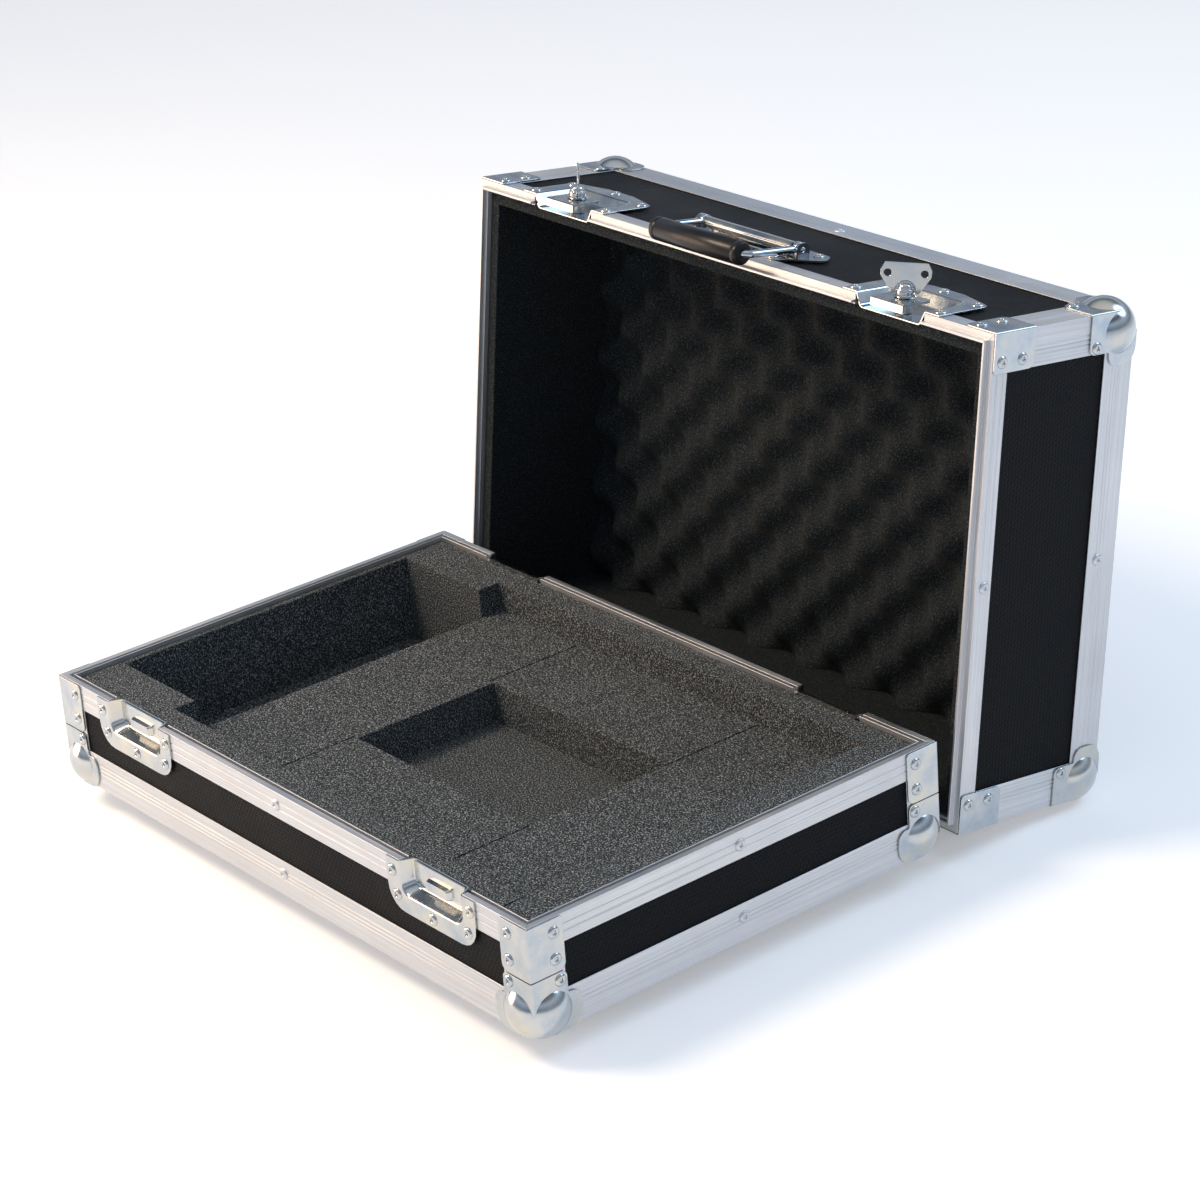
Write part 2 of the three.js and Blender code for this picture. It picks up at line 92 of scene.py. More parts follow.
def add_node(tree, kind, **values):
    """One node, with its sockets set by name and its other settings as attributes."""
    node = tree.nodes.new(kind)
    for key, value in values.items():
        socket = node.inputs.get(key.replace("_", " "))
        if socket is None:
            setattr(node, key, value)
        else:
            socket.default_value = value
    return node


def relief_group():
    """Fine grain: a noise that gives a mask for colour and a bumped normal."""
    group = bpy.data.node_groups.new("fine_grain", "ShaderNodeTree")
    face = group.interface
    face.new_socket("Vector", in_out="INPUT", socket_type="NodeSocketVector")
    face.new_socket("Scale", in_out="INPUT", socket_type="NodeSocketFloat")
    face.new_socket("Depth", in_out="INPUT", socket_type="NodeSocketFloat")
    face.new_socket("Mask", in_out="OUTPUT", socket_type="NodeSocketFloat")
    face.new_socket("Normal", in_out="OUTPUT", socket_type="NodeSocketVector")
    inside = group.nodes.new("NodeGroupInput")
    outside = group.nodes.new("NodeGroupOutput")
    noise = add_node(group, "ShaderNodeTexNoise", Detail=4.0, Roughness=0.6)
    bump = add_node(group, "ShaderNodeBump", Strength=1.0)
    group.links.new(inside.outputs["Vector"], noise.inputs["Vector"])
    group.links.new(inside.outputs["Scale"], noise.inputs["Scale"])
    group.links.new(noise.outputs["Fac"], bump.inputs["Height"])
    group.links.new(inside.outputs["Depth"], bump.inputs["Distance"])
    group.links.new(noise.outputs["Fac"], outside.inputs["Mask"])
    group.links.new(bump.outputs["Normal"], outside.inputs["Normal"])
    return group


FINE_GRAIN = relief_group()


def grain(tree, vector, scale, depth):
    node = tree.nodes.new("ShaderNodeGroup")
    node.node_tree = FINE_GRAIN
    node.inputs["Scale"].default_value = scale
    node.inputs["Depth"].default_value = depth
    tree.links.new(vector, node.inputs["Vector"])
    return node


def ramp(tree, factor, stops):
    """A colour ramp from a factor, its stops as (position, colour)."""
    node = tree.nodes.new("ShaderNodeValToRGB")
    elements = node.color_ramp.elements
    for element, (position, colour) in zip(elements, (stops[0], stops[-1])):
        element.position = position
        element.color = (*colour, 1)
    for position, colour in stops[1:-1]:
        elements.new(position).color = (*colour, 1)
    tree.links.new(factor, node.inputs["Fac"])
    return node.outputs["Color"]


def spread(tree, factor, low, high):
    """A factor mapped to a range, for roughness that changes over the surface."""
    node = add_node(tree, "ShaderNodeMapRange", From_Min=0.3, From_Max=0.7)
    node.inputs["To Min"].default_value = low
    node.inputs["To Max"].default_value = high
    tree.links.new(factor, node.inputs["Value"])
    return node.outputs["Result"]


def honeycomb_laminate():
    """Black film with rows of small raised cells, each row half a cell along from the next."""
    material, tree, shader = new_material("honeycomb_laminate", (0.004, 0.005, 0.007), 0.5)
    shader.inputs["Specular IOR Level"].default_value = 0.09
    sheet = tree.nodes.new("ShaderNodeTexCoord").outputs["UV"]
    reach = (0.5, 0.866, 1.0)
    nearest = add_node(tree, "ShaderNodeMath", operation="MINIMUM")
    for slot, shift in enumerate(((0, 0, 0), (reach[0], reach[1], 0))):
        rows = add_node(tree, "ShaderNodeMapping", Location=shift, Scale=(0.25, 0.25, 0))
        wrap = add_node(tree, "ShaderNodeVectorMath", operation="WRAP")
        wrap.inputs[1].default_value = reach
        wrap.inputs[2].default_value = [-r for r in reach]
        away = add_node(tree, "ShaderNodeVectorMath", operation="LENGTH")
        tree.links.new(sheet, rows.inputs["Vector"])
        tree.links.new(rows.outputs["Vector"], wrap.inputs[0])
        tree.links.new(wrap.outputs["Vector"], away.inputs[0])
        tree.links.new(away.outputs["Value"], nearest.inputs[slot])
    raised = add_node(tree, "ShaderNodeMapRange", From_Min=0.5, From_Max=0.36)
    tree.links.new(nearest.outputs["Value"], raised.inputs["Value"])
    place = tree.nodes.new("ShaderNodeTexCoord").outputs["Object"]
    film = grain(tree, place, 900.0, 0.00006)
    cell = add_node(tree, "ShaderNodeBump", Strength=0.9, Distance=0.0005)
    tree.links.new(raised.outputs["Result"], cell.inputs["Height"])
    tree.links.new(film.outputs["Normal"], cell.inputs["Normal"])
    tree.links.new(cell.outputs["Normal"], shader.inputs["Normal"])
    smudge = grain(tree, place, 9.0, 0.0)
    tone = ramp(
        tree,
        smudge.outputs["Mask"],
        [(0.35, (0.0025, 0.003, 0.004)), (0.7, (0.006, 0.0068, 0.0085))],
    )
    tree.links.new(tone, shader.inputs["Base Color"])
    tree.links.new(spread(tree, smudge.outputs["Mask"], 0.42, 0.6), shader.inputs["Roughness"])
    return material


def lay_flat(piece, tray):
    """Gives every face of a panel its own flat coordinates in millimetres, square to its tray."""
    mesh = piece.data
    to_tray = TRAYS[tray][0].inverted() @ piece.matrix_world
    places = [to_tray @ v.co for v in mesh.vertices]
    layer = mesh.uv_layers.new(name="sheet")
    for face in mesh.polygons:
        normal = to_tray.to_3x3() @ face.normal
        sunk = max(range(3), key=lambda k: abs(normal[k]))
        across, up = (k for k in range(3) if k != sunk)
        for loop in face.loop_indices:
            place = places[mesh.loops[loop].vertex_index]
            layer.data[loop].uv = (place[across], place[up])


laminate = honeycomb_laminate()
for node in ("base_floor_panel", "base_wall_panels", "lid_top_panel", "lid_wall_panels"):
    panel = frame["nodes"][node]
    lay_flat(panel, node.split("_")[0])
    panel.data.materials.clear()
    panel.data.materials.append(laminate)


# ---- Aluminium angles of both trays
# Each outside edge is a 30 mm equal angle, extruded in mill-finish aluminium 1 mm thick with
# three fine grooves along each leg. The lengths are mitred, notched under the ball corners and
# pop-riveted to the plywood.
ANGLE_LEG, SHEET, RIM_LEG = 30, 1.0, {"base": 22, "lid": 16}
GROOVES, GROOVE_HALF, GROOVE_DEEP = (14, 17.5, 21), 0.6, 0.5
ANGLE_RIVET, BUTT_GAP = 19, 0.3
BALL_IN = 16


def wall(tray, side, height):
    """A frame on a side, 0 at -y and on round: x along it, y past the rim, z out of its face."""
    half = (LENGTH if side % 2 else DEPTH) / 2
    out_of_face = Matrix.Rotation(math.pi / 2, 4, "X")
    turn = Matrix.Rotation(side * math.pi / 2, 4, "Z")
    return TRAYS[tray][0] @ turn @ Matrix.Translation((0, -half, height)) @ out_of_face


# Takes a profile drawn as x into the wall, y up and z along it, into a wall's frame
RUN = Matrix(((0, 0, 1, 0), (0, 1, 0, 0), (-1, 0, 0, 0), (0, 0, 0, 1)))


def sawn_length(bm, profile, start, end, matrix, mitred=(0, 0), notch=0):
    """One length of an extrusion along z, mitred by its depth x or notched square before that."""
    layer = bm.loops.layers.uv.verify()
    first = [bm.verts.new((x, y, start + mitred[0] * max(x, notch))) for x, y in profile]
    made = bmesh.ops.extrude_face_region(bm, geom=[bm.faces.new(first)])
    far = [v for v in made["geom"] if isinstance(v, bmesh.types.BMVert)]
    for vert in far:
        vert.co.z = end - mitred[1] * max(vert.co.x, notch)
    faces = {f for v in far + first for f in v.link_faces}
    for face in faces:
        face.normal_update()
        across = 1 if abs(face.normal.x) > abs(face.normal.y) else 0
        for loop in face.loops:
            loop[layer].uv = (loop.vert.co.z * MM, loop.vert.co[across] * MM)
    bmesh.ops.transform(bm, matrix=matrix, verts=first + far)


def mesh_of(build, *args):
    """A template mesh, from a function that builds into an empty bmesh in millimetres."""
    bm = bmesh.new()
    build(bm, *args)
    mesh = bpy.data.meshes.new(build.__name__)
    bm.to_mesh(mesh)
    bm.free()
    return mesh


def add_copy(bm, template, matrix):
    count = len(bm.verts)
    bm.from_mesh(template)
    bm.verts.ensure_lookup_table()
    bmesh.ops.transform(bm, matrix=matrix, verts=bm.verts[count:])


def spun(bm, profile, steps=32):
    """A round solid about z, its (radius, height) profile ending on z or closing on itself."""
    fresh = bmesh.new()
    points = [fresh.verts.new((r, 0, z)) for r, z in profile]
    line = [fresh.edges.new(pair) for pair in zip(points, points[1:])]
    bmesh.ops.spin(
        fresh,
        geom=points + line,
        axis=(0, 0, 1),
        cent=(0, 0, 0),
        steps=steps,
        angle=math.tau,
        use_merge=True,
    )
    bmesh.ops.remove_doubles(fresh, verts=fresh.verts, dist=0.005)
    bmesh.ops.recalc_face_normals(fresh, faces=fresh.faces)
    mesh = bpy.data.meshes.new("spun")
    fresh.to_mesh(mesh)
    fresh.free()
    add_copy(bm, mesh, Matrix.Identity(4))


# The head of a pop rivet: a domed ring with the hollow of its pulled stem in the middle
RIVET_HEAD = [
    (0, -0.4),
    (4.8, -0.4),
    (4.8, 0.25),
    (4.35, 0.95),
    (3.5, 1.45),
    (2.6, 1.6),
    (1.9, 1.45),
    (1.55, 0.9),
    (1.45, 0.3),
    (0, 0.2),
]
POP_RIVET = mesh_of(spun, RIVET_HEAD, 20)


def add_rivet(bm, matrix, x, y, z=0.0):
    add_copy(bm, POP_RIVET, matrix @ Matrix.Translation((x, y, z)))


def turn_outwards(bm):
    """Points the faces of every closed shell out of it, by the sign of the shell's volume."""
    bmesh.ops.recalc_face_normals(bm, faces=bm.faces)
    bm.normal_update()
    left = set(bm.faces)
    while left:
        shell, reached = [], [left.pop()]
        while reached:
            face = reached.pop()
            shell.append(face)
            beside = {f for e in face.edges for f in e.link_faces} & left
            left -= beside
            reached += beside
        volume = sum(f.calc_center_median().dot(f.normal) * f.calc_area() for f in shell)
        if volume < 0:
            bmesh.ops.reverse_faces(bm, faces=shell)


def make_piece(name, bm, material, body, slot, *nodes, bevel=0.0):
    """Ends a piece: closed faces outwards, its live modifiers, material, body and CAD nodes."""
    turn_outwards(bm)
    mesh = bpy.data.meshes.new(name)
    bm.to_mesh(mesh)
    bm.free()
    piece = bpy.data.objects.new(name, mesh)
    bpy.context.scene.collection.objects.link(piece)
    mesh.materials.append(material)
    mesh.shade_smooth()
    mesh.set_sharp_from_angle(angle=math.radians(48))
    if bevel:
        edges = piece.modifiers.new("broken_edges", "BEVEL")
        edges.width = bevel * MM
        edges.segments = 2
        edges.limit_method = "ANGLE"
        edges.angle_limit = math.radians(50)
        edges.use_clamp_overlap = True
        even = piece.modifiers.new("flat_faces", "WEIGHTED_NORMAL")
        even.keep_sharp = True
    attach(piece, body)
    if nodes:
        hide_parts(*nodes)
    return piece


def mill_aluminium():
    """Extruded aluminium: streaks along the length, thin die lines and a few dull patches."""
    material, tree, shader = new_material("mill_aluminium", (0.8, 0.79, 0.78), 0.38, 1.0)
    shader.inputs["Anisotropic"].default_value = 0.35
    across = tree.nodes.new("ShaderNodeTexCoord").outputs["UV"]
    drawn = add_node(tree, "ShaderNodeMapping", Scale=(6.0, 1500.0, 1.0))
    tree.links.new(across, drawn.inputs["Vector"])
    streaks = grain(tree, drawn.outputs["Vector"], 1.0, 0.00002)
    place = tree.nodes.new("ShaderNodeTexCoord").outputs["Object"]
    patches = grain(tree, place, 14.0, 0.0)
    tone = ramp(
        tree,
        streaks.outputs["Mask"],
        [(0.3, (0.52, 0.53, 0.55)), (0.55, (0.66, 0.67, 0.69)), (0.8, (0.8, 0.805, 0.82))],
    )
    tree.links.new(tone, shader.inputs["Base Color"])
    tree.links.new(spread(tree, patches.outputs["Mask"], 0.42, 0.58), shader.inputs["Roughness"])
    tree.links.new(streaks.outputs["Normal"], shader.inputs["Normal"])
    return material


aluminium = mill_aluminium()


def grooved(points):
    """A profile whose outside runs, given as pairs of points, are cut by V grooves."""
    outline = []
    for start, end, is_outside in points:
        outline.append(start)
        run = Vector(end) - Vector(start)
        if not is_outside:
            continue
        along = run.normalized()
        inward = Vector((-along.y, along.x)) * GROOVE_DEEP
        from_corner = sorted(r if start == (0, 0) else run.length - r for r in GROOVES)
        for middle in (r for r in from_corner if 1 < r < run.length - 1):
            for step, depth in ((-GROOVE_HALF, 0), (0, 1), (GROOVE_HALF, 0)):
                outline.append(tuple(Vector(start) + along * (middle + step) + inward * depth))
    return outline


ANGLE_PROFILE = grooved(
    [
        ((0, 0), (ANGLE_LEG, 0), True),
        ((ANGLE_LEG, 0), (ANGLE_LEG, SHEET), False),
        ((ANGLE_LEG, SHEET), (SHEET, SHEET), False),
        ((SHEET, SHEET), (SHEET, ANGLE_LEG), False),
        ((SHEET, ANGLE_LEG), (0, ANGLE_LEG), False),
        ((0, ANGLE_LEG), (0, 0), True),
    ]
)
for tray, (matrix, height, _) in TRAYS.items():
    bm = bmesh.new()
    for side in range(4):
        half = (LENGTH if side % 2 else DEPTH) / 2
        reach = (DEPTH if side % 2 else LENGTH) / 2
        foot = wall(tray, side, 0)
        sawn_length(bm, ANGLE_PROFILE, -reach, reach, foot @ RUN, (1, 1), BALL_IN)
        corner = matrix @ Matrix.Rotation(side * math.pi / 2, 4, "Z")
        at_edge = corner @ Matrix.Translation((-reach, -half, 0))
        top = height - RIM_LEG[tray] - BUTT_GAP
        sawn_length(bm, ANGLE_PROFILE, ANGLE_LEG + BUTT_GAP, top, at_edge)
        add_rivet(bm, foot, 0, ANGLE_RIVET)
        under = foot @ Matrix.Rotation(math.pi / 2, 4, "X")
        add_rivet(bm, under, 0, -ANGLE_RIVET)
    name = f"{tray}_riveted_angles"
    node = f"{tray}_edge_frame"
    make_piece(name, bm, aluminium, tray, "aluminium_extrusion", node, bevel=0.25)


# ---- Rim extrusions
# The rims are hybrid extrusions that cap the plywood: the base's has a groove along its top,
# the lid's a tongue that drops into it. They are sawn out round each latch and riveted.
LATCH_X, CUT_HALF = 192, 36.5
RIM_PROFILES = {
    "base": [
        (0, 0),
        (5, 0),
        (5, -5),
        (8, -5),
        (8, 0),
        (9, 0),
        (9, -16),
        (8, -16),
        (8, -6.5),
        (1, -6.5),
        (1, -22),
        (0, -22),
        (0, -14.6),
        (0.5, -14),
        (0, -13.4),
        (0, -8.6),
        (0.5, -8),
        (0, -7.4),
    ],
    "lid": [
        (0, 0),
        (5.3, 0),
        (5.55, 4.2),
        (7.45, 4.2),
        (7.7, 0),
        (9, 0),
        (9, -11.5),
        (8, -11.5),
        (8, -2),
        (1, -2),
        (1, -16),
        (0, -16),
        (0, -12.6),
        (0.5, -12),
        (0, -11.4),
        (0, -5.8),
        (0.5, -5.2),
        (0, -4.6),
    ],
}
RIM_RIVET = {"base": 11, "lid": 8.8}
for tray, (matrix, height, names) in TRAYS.items():
    profile = RIM_PROFILES[tray]
    middle = LATCH_X - CUT_HALF
    outer = LATCH_X + CUT_HALF
    for side in (0, 2):
        bm = bmesh.new()
        rim = wall(tray, side, height)
        sawn_length(bm, profile, -middle, middle, rim @ RUN)
        add_rivet(bm, rim, 0, -RIM_RIVET[tray])
        place = names[-1 if side == 0 else 1]
        name, node = f"{tray}_rim_length_{place}", f"{tray}_rim_{place}"
        make_piece(name, bm, aluminium, tray, "aluminium_extrusion", node, bevel=0.25)
    for side, place in ((1, "right"), (3, "left")):
        bm = bmesh.new()
        rim = wall(tray, side, height)
        sawn_length(bm, profile, -DEPTH / 2, DEPTH / 2, rim @ RUN, mitred=(1, 1))
        add_rivet(bm, rim, 0, -RIM_RIVET[tray])
        before, after = wall(tray, side - 1, height), wall(tray, (side + 1) % 4, height)
        sawn_length(bm, profile, outer, LENGTH / 2, before @ RUN, mitred=(0, 1))
        sawn_length(bm, profile, -LENGTH / 2, -outer, after @ RUN, mitred=(1, 0))
        name, node = f"{tray}_rim_return_{place}", f"{tray}_rim_{place}"
        make_piece(name, bm, aluminium, tray, "aluminium_extrusion", node, bevel=0.25)


# ---- Corner braces
# Angle braces folded from 1.2 mm steel, bright zinc plated, hold the rims together at each
# upright edge. Each leg has two pop rivets.
GAP, PLATE = 0.3, 1.2
OUTER = GAP + PLATE
BRACE_WIDE, BRACE_LONG = 30, 42
FOLD = OUTER * math.pi / 4


def rounded(points, steps=5):
    """An outline from (x, y, corner radius) points, its corners as arcs."""
    outline = []
    count = len(points)
    for i, point in enumerate(points):
        here, radius = Vector(point[:2]), point[2] if len(point) > 2 else 0
        if not radius:
            outline.append(tuple(here))
            continue
        back = (Vector(points[i - 1][:2]) - here).normalized()
        ahead = (Vector(points[(i + 1) % count][:2]) - here).normalized()
        half = back.angle(ahead) / 2
        reach = radius / math.tan(half)
        centre = here + (back + ahead).normalized() * (radius / math.sin(half))
        start = here + back * reach - centre
        turn = start.angle_signed(here + ahead * reach - centre)
        for k in range(steps + 1):
            outline.append(tuple(centre + Matrix.Rotation(-turn * k / steps, 2) @ start))
    return outline


def filled_sheet(bm, *loops, z=0.0):
    """A flat face inside the first outline, with the other outlines as holes."""
    edges = []
    for loop in loops:
        ring = [bm.verts.new((x, y, z)) for x, y in loop]
        edges += [bm.edges.new(pair) for pair in zip(ring, ring[1:] + ring[:1])]
    bmesh.ops.triangle_fill(bm, use_beauty=True, use_dissolve=True, edges=edges)


def fold_over_edge(bm):
    """Folds a flat sheet, x across and y up, over an upright edge at the origin."""
    for vert in bm.verts:
        across, up = vert.co.x, vert.co.y
        if across > FOLD:
            vert.co = (across - FOLD, -OUTER, up)
        elif across < -FOLD:
            vert.co = (-OUTER, -across - FOLD, up)
        else:
            angle = math.radians(-135 + 45 * across / FOLD)
            vert.co = (OUTER * math.cos(angle), OUTER * math.sin(angle), up)


def cut_across(bm, *lines):
    for x in lines:
        bmesh.ops.bisect_plane(
            bm,
            geom=bm.verts[:] + bm.edges[:] + bm.faces[:],
            plane_co=(x, 0, 0),
            plane_no=(1, 0, 0),
        )


def steel_gauge(bm, faces, outward, gauge=PLATE):
    """Thickens an open sheet inwards, away from the side that outward points to."""
    bmesh.ops.recalc_face_normals(bm, faces=faces)
    widest = max(faces, key=lambda f: f.calc_area())
    widest.normal_update()
    if widest.normal.dot(Vector(outward)) < 0:
        bmesh.ops.reverse_faces(bm, faces=faces)
    bmesh.ops.solidify(bm, geom=faces, thickness=gauge)


def place_name(end, x_sign):
    return f"{end}_{'left' if x_sign < 0 else 'right'}"


def zinc_plate():
    """Bright zinc on steel: a mirror dulled in clouds, bluish with a faint yellow passivation."""
    material, tree, shader = new_material("bright_zinc", (0.76, 0.8, 0.84), 0.22, 1.0)
    place = tree.nodes.new("ShaderNodeTexCoord").outputs["Object"]
    clouds = grain(tree, place, 45.0, 0.0)
    spangle = grain(tree, place, 500.0, 0.000005)
    tone = ramp(
        tree,
        clouds.outputs["Mask"],
        [(0.3, (0.4, 0.46, 0.52)), (0.5, (0.53, 0.55, 0.56)), (0.72, (0.64, 0.61, 0.52))],
    )
    tree.links.new(tone, shader.inputs["Base Color"])
    tree.links.new(spread(tree, clouds.outputs["Mask"], 0.1, 0.24), shader.inputs["Roughness"])
    tree.links.new(spangle.outputs["Normal"], shader.inputs["Normal"])
    return material


zinc = zinc_plate()
STEEL = "zinc_plated_steel"
BRACE_RIVETS = {"base": (10.6, 31.3), "lid": (8.4, 29.4)}
BRACE_RIVET_IN = 21.5
CORNERS = ((-1, -1, 0), (1, -1, 1), (1, 1, 2), (-1, 1, 3))
UPRIGHT = Matrix.Translation((0, -OUTER, 0)) @ Matrix.Rotation(math.pi / 2, 4, "X")
SWAP = Matrix(((0, 1, 0, 0), (1, 0, 0, 0), (0, 0, 1, 0), (0, 0, 0, 1)))
for tray, (matrix, height, names) in TRAYS.items():
    for x_sign, y_sign, turns in CORNERS:
        bm = bmesh.new()
        wide = BRACE_WIDE + FOLD
        leaf = [
            (-wide, -BRACE_LONG, 6),
            (wide, -BRACE_LONG, 6),
            (wide, -GAP, 3),
            (-wide, -GAP, 3),
        ]
        filled_sheet(bm, rounded(leaf))
        cut_across(bm, *(FOLD * k / 3 for k in range(-3, 4)))
        fold_over_edge(bm)
        steel_gauge(bm, bm.faces[:], (-1, -1, 0))
        for down in BRACE_RIVETS[tray]:
            add_rivet(bm, UPRIGHT, BRACE_RIVET_IN, -down)
            add_rivet(bm, SWAP @ UPRIGHT, BRACE_RIVET_IN, -down)
        corner = matrix @ Matrix.Translation((x_sign * LENGTH / 2, y_sign * DEPTH / 2, height))
        bm.transform(corner @ Matrix.Rotation(turns * math.pi / 2, 4, "Z"))
        place = place_name(names[y_sign], x_sign)
        name, node = f"{tray}_folded_brace_{place}", f"{tray}_brace_{place}"
        make_piece(name, bm, zinc, tray, STEEL, node, bevel=0.2)


# ---- Ball corners
# Each closed corner is capped by one pressing of zinc-plated steel: a ball over the notched
# corner, with a lobed wing flat on each of the three faces and a pop rivet through two of them.
BALL_RADIUS, BALL_CUT, LAP = 24, 18.6, OUTER - 0.2
LOBE, LOBE_HIGH = 42, 27
BALL_SIZES = {"base": (45.2, 24, 39), "lid": (48, 25, 41)}


def cut_ball(bm):
    """The ball, with the part of it that would stand inside the case cut away."""
    centre = Matrix.Translation((BALL_IN, BALL_IN, BALL_IN))
    bmesh.ops.create_uvsphere(
        bm, u_segments=64, v_segments=32, radius=BALL_RADIUS, matrix=centre
    )
    cut = bmesh.ops.bisect_plane(
        bm,
        geom=bm.verts[:] + bm.edges[:] + bm.faces[:],
        plane_co=(BALL_CUT, BALL_CUT, BALL_CUT),
        plane_no=(1, 1, 1),
        clear_outer=True,
    )
    rim = [g for g in cut["geom_cut"] if isinstance(g, bmesh.types.BMEdge)]
    bmesh.ops.contextual_create(bm, geom=rim)


def ball_corner_template(leg_high, rivet_in, rivet_high):
    bm = bmesh.new()
    wing = [
        (BALL_IN, -LAP),
        (LOBE, -LAP, 13),
        (LOBE - 1, LOBE_HIGH, 8.5),
        (BRACE_WIDE, LOBE_HIGH, 1.5),
        (BRACE_WIDE, leg_high, 5),
    ]
    unfolded = [(x + FOLD, *rest) for x, *rest in wing]
    mirrored = [(-x, *rest) for x, *rest in reversed(unfolded)]
    inner = [(-BALL_IN - FOLD, BALL_IN), (BALL_IN + FOLD, BALL_IN)]
    filled_sheet(bm, rounded(unfolded + mirrored + inner))
    cut_across(bm, *(FOLD * k / 3 for k in range(-3, 4)))
    fold_over_edge(bm)
    steel_gauge(bm, bm.faces[:], (-1, -1, 0))
    sole = bmesh.new()
    lobes = [
        (BALL_IN, -LAP),
        (LOBE, -LAP, 13),
        (LOBE - 8, LOBE - 8, 8),
        (-LAP, LOBE, 13),
        (-LAP, BALL_IN),
        (BALL_IN, BALL_IN),
    ]
    filled_sheet(sole, rounded(lobes), z=-OUTER)
    steel_gauge(sole, sole.faces[:], (0, 0, -1))
    plate = bpy.data.meshes.new("sole")
    sole.to_mesh(plate)
    sole.free()
    add_copy(bm, plate, Matrix.Identity(4))
    add_copy(bm, mesh_of(cut_ball), Matrix.Identity(4))
    add_rivet(bm, UPRIGHT, rivet_in, rivet_high)
    add_rivet(bm, SWAP @ UPRIGHT, rivet_in, rivet_high)
    mesh = bpy.data.meshes.new("ball_corner")
    bm.to_mesh(mesh)
    bm.free()
    return mesh


for tray, (matrix, height, names) in TRAYS.items():
    template = ball_corner_template(*BALL_SIZES[tray])
    for x_sign, y_sign, turns in CORNERS:
        bm = bmesh.new()
        corner = matrix @ Matrix.Translation((x_sign * LENGTH / 2, y_sign * DEPTH / 2, 0))
        add_copy(bm, template, corner @ Matrix.Rotation(turns * math.pi / 2, 4, "Z"))
        place = place_name(names[y_sign], x_sign)
        name, node = f"{tray}_pressed_ball_{place}", f"{tray}_ball_corner_{place}"
        make_piece(name, bm, zinc, tray, STEEL, node, bevel=0.2)


# ---- Keepers in the base
# Pressed zinc-plated dishes let into both long walls, open at the rim. A catch plate inside
# stands off the dish floor, and its raised middle is what the hook pulls on.
DISH_FLOOR, EDGE = 9.2, -0.3
FLOOR_SHRINK = 31 / 36


def press_folds(bm, radius, segments=3):
    """Rounds the sharp folds of an open sheet, as a press tool leaves them."""
    inside = [e for e in bm.edges if len(e.link_faces) == 2]
    folds = [e for e in inside if e.calc_face_angle() > math.radians(30)]
    bmesh.ops.bevel(
        bm,
        geom=folds,
        affect="EDGES",
        offset=radius,
        segments=segments,
        profile=0.5,
        material=-1,
        clamp_overlap=True,
    )


def dished_plate(bm, outline, opening):
    """A plate with a dish pressed into it, open at the rim edge, in a wall's frame."""
    mouth_points = rounded(opening)
    ring = [bm.verts.new((x, y, OUTER)) for x, y in rounded(outline) + mouth_points]
    bm.faces.new(ring)
    mouth = ring[-len(mouth_points):]
    edges = [bm.edges.get(pair) for pair in zip(mouth, mouth[1:])]
    made = bmesh.ops.extrude_edge_only(bm, edges=edges)
    low = [g for g in made["geom"] if isinstance(g, bmesh.types.BMVert)]
    for vert in low:
        vert.co.x *= FLOOR_SHRINK
        vert.co.y = EDGE + (vert.co.y - EDGE) * FLOOR_SHRINK
        vert.co.z = -DISH_FLOOR
    ends = sorted(low, key=lambda v: v.co.y)[-2:]
    floor_edges = [e for v in low for e in v.link_edges if all(w in low for w in e.verts)]
    closing = bm.edges.new(ends)
    edges = list(set(floor_edges)) + [closing]
    bmesh.ops.triangle_fill(bm, use_beauty=True, use_dissolve=True, edges=edges)
    press_folds(bm, 1.6)
    steel_gauge(bm, bm.faces[:], (0, 0, 1))


def raised_middle(bm, outline, middle, low, high, shrink):
    """A flat plate at one level with its middle pressed up to another."""
    filled_sheet(bm, rounded(outline), rounded(middle), z=low)
    hole = {tuple(round(c, 3) for c in p) for p in rounded(middle)}
    rim = [v for v in bm.verts if (round(v.co.x, 3), round(v.co.y, 3)) in hole]
    edges = {e for v in rim for e in v.link_edges if all(w in rim for w in e.verts)}
    edges = [e for e in edges if len(e.link_faces) == 1]
    made = bmesh.ops.extrude_edge_only(bm, edges=edges)
    top = [g for g in made["geom"] if isinstance(g, bmesh.types.BMVert)]
    centre = sum((v.co for v in top), Vector()) / len(top)
    for vert in top:
        vert.co.x = centre.x + (vert.co.x - centre.x) * shrink
        vert.co.y = centre.y + (vert.co.y - centre.y) * shrink
        vert.co.z = high
    loop = [g for g in made["geom"] if isinstance(g, bmesh.types.BMEdge)]
    bmesh.ops.triangle_fill(bm, use_beauty=True, use_dissolve=True, edges=loop)
    press_folds(bm, 0.9)
    steel_gauge(bm, bm.faces[:], (0, 0, 1))


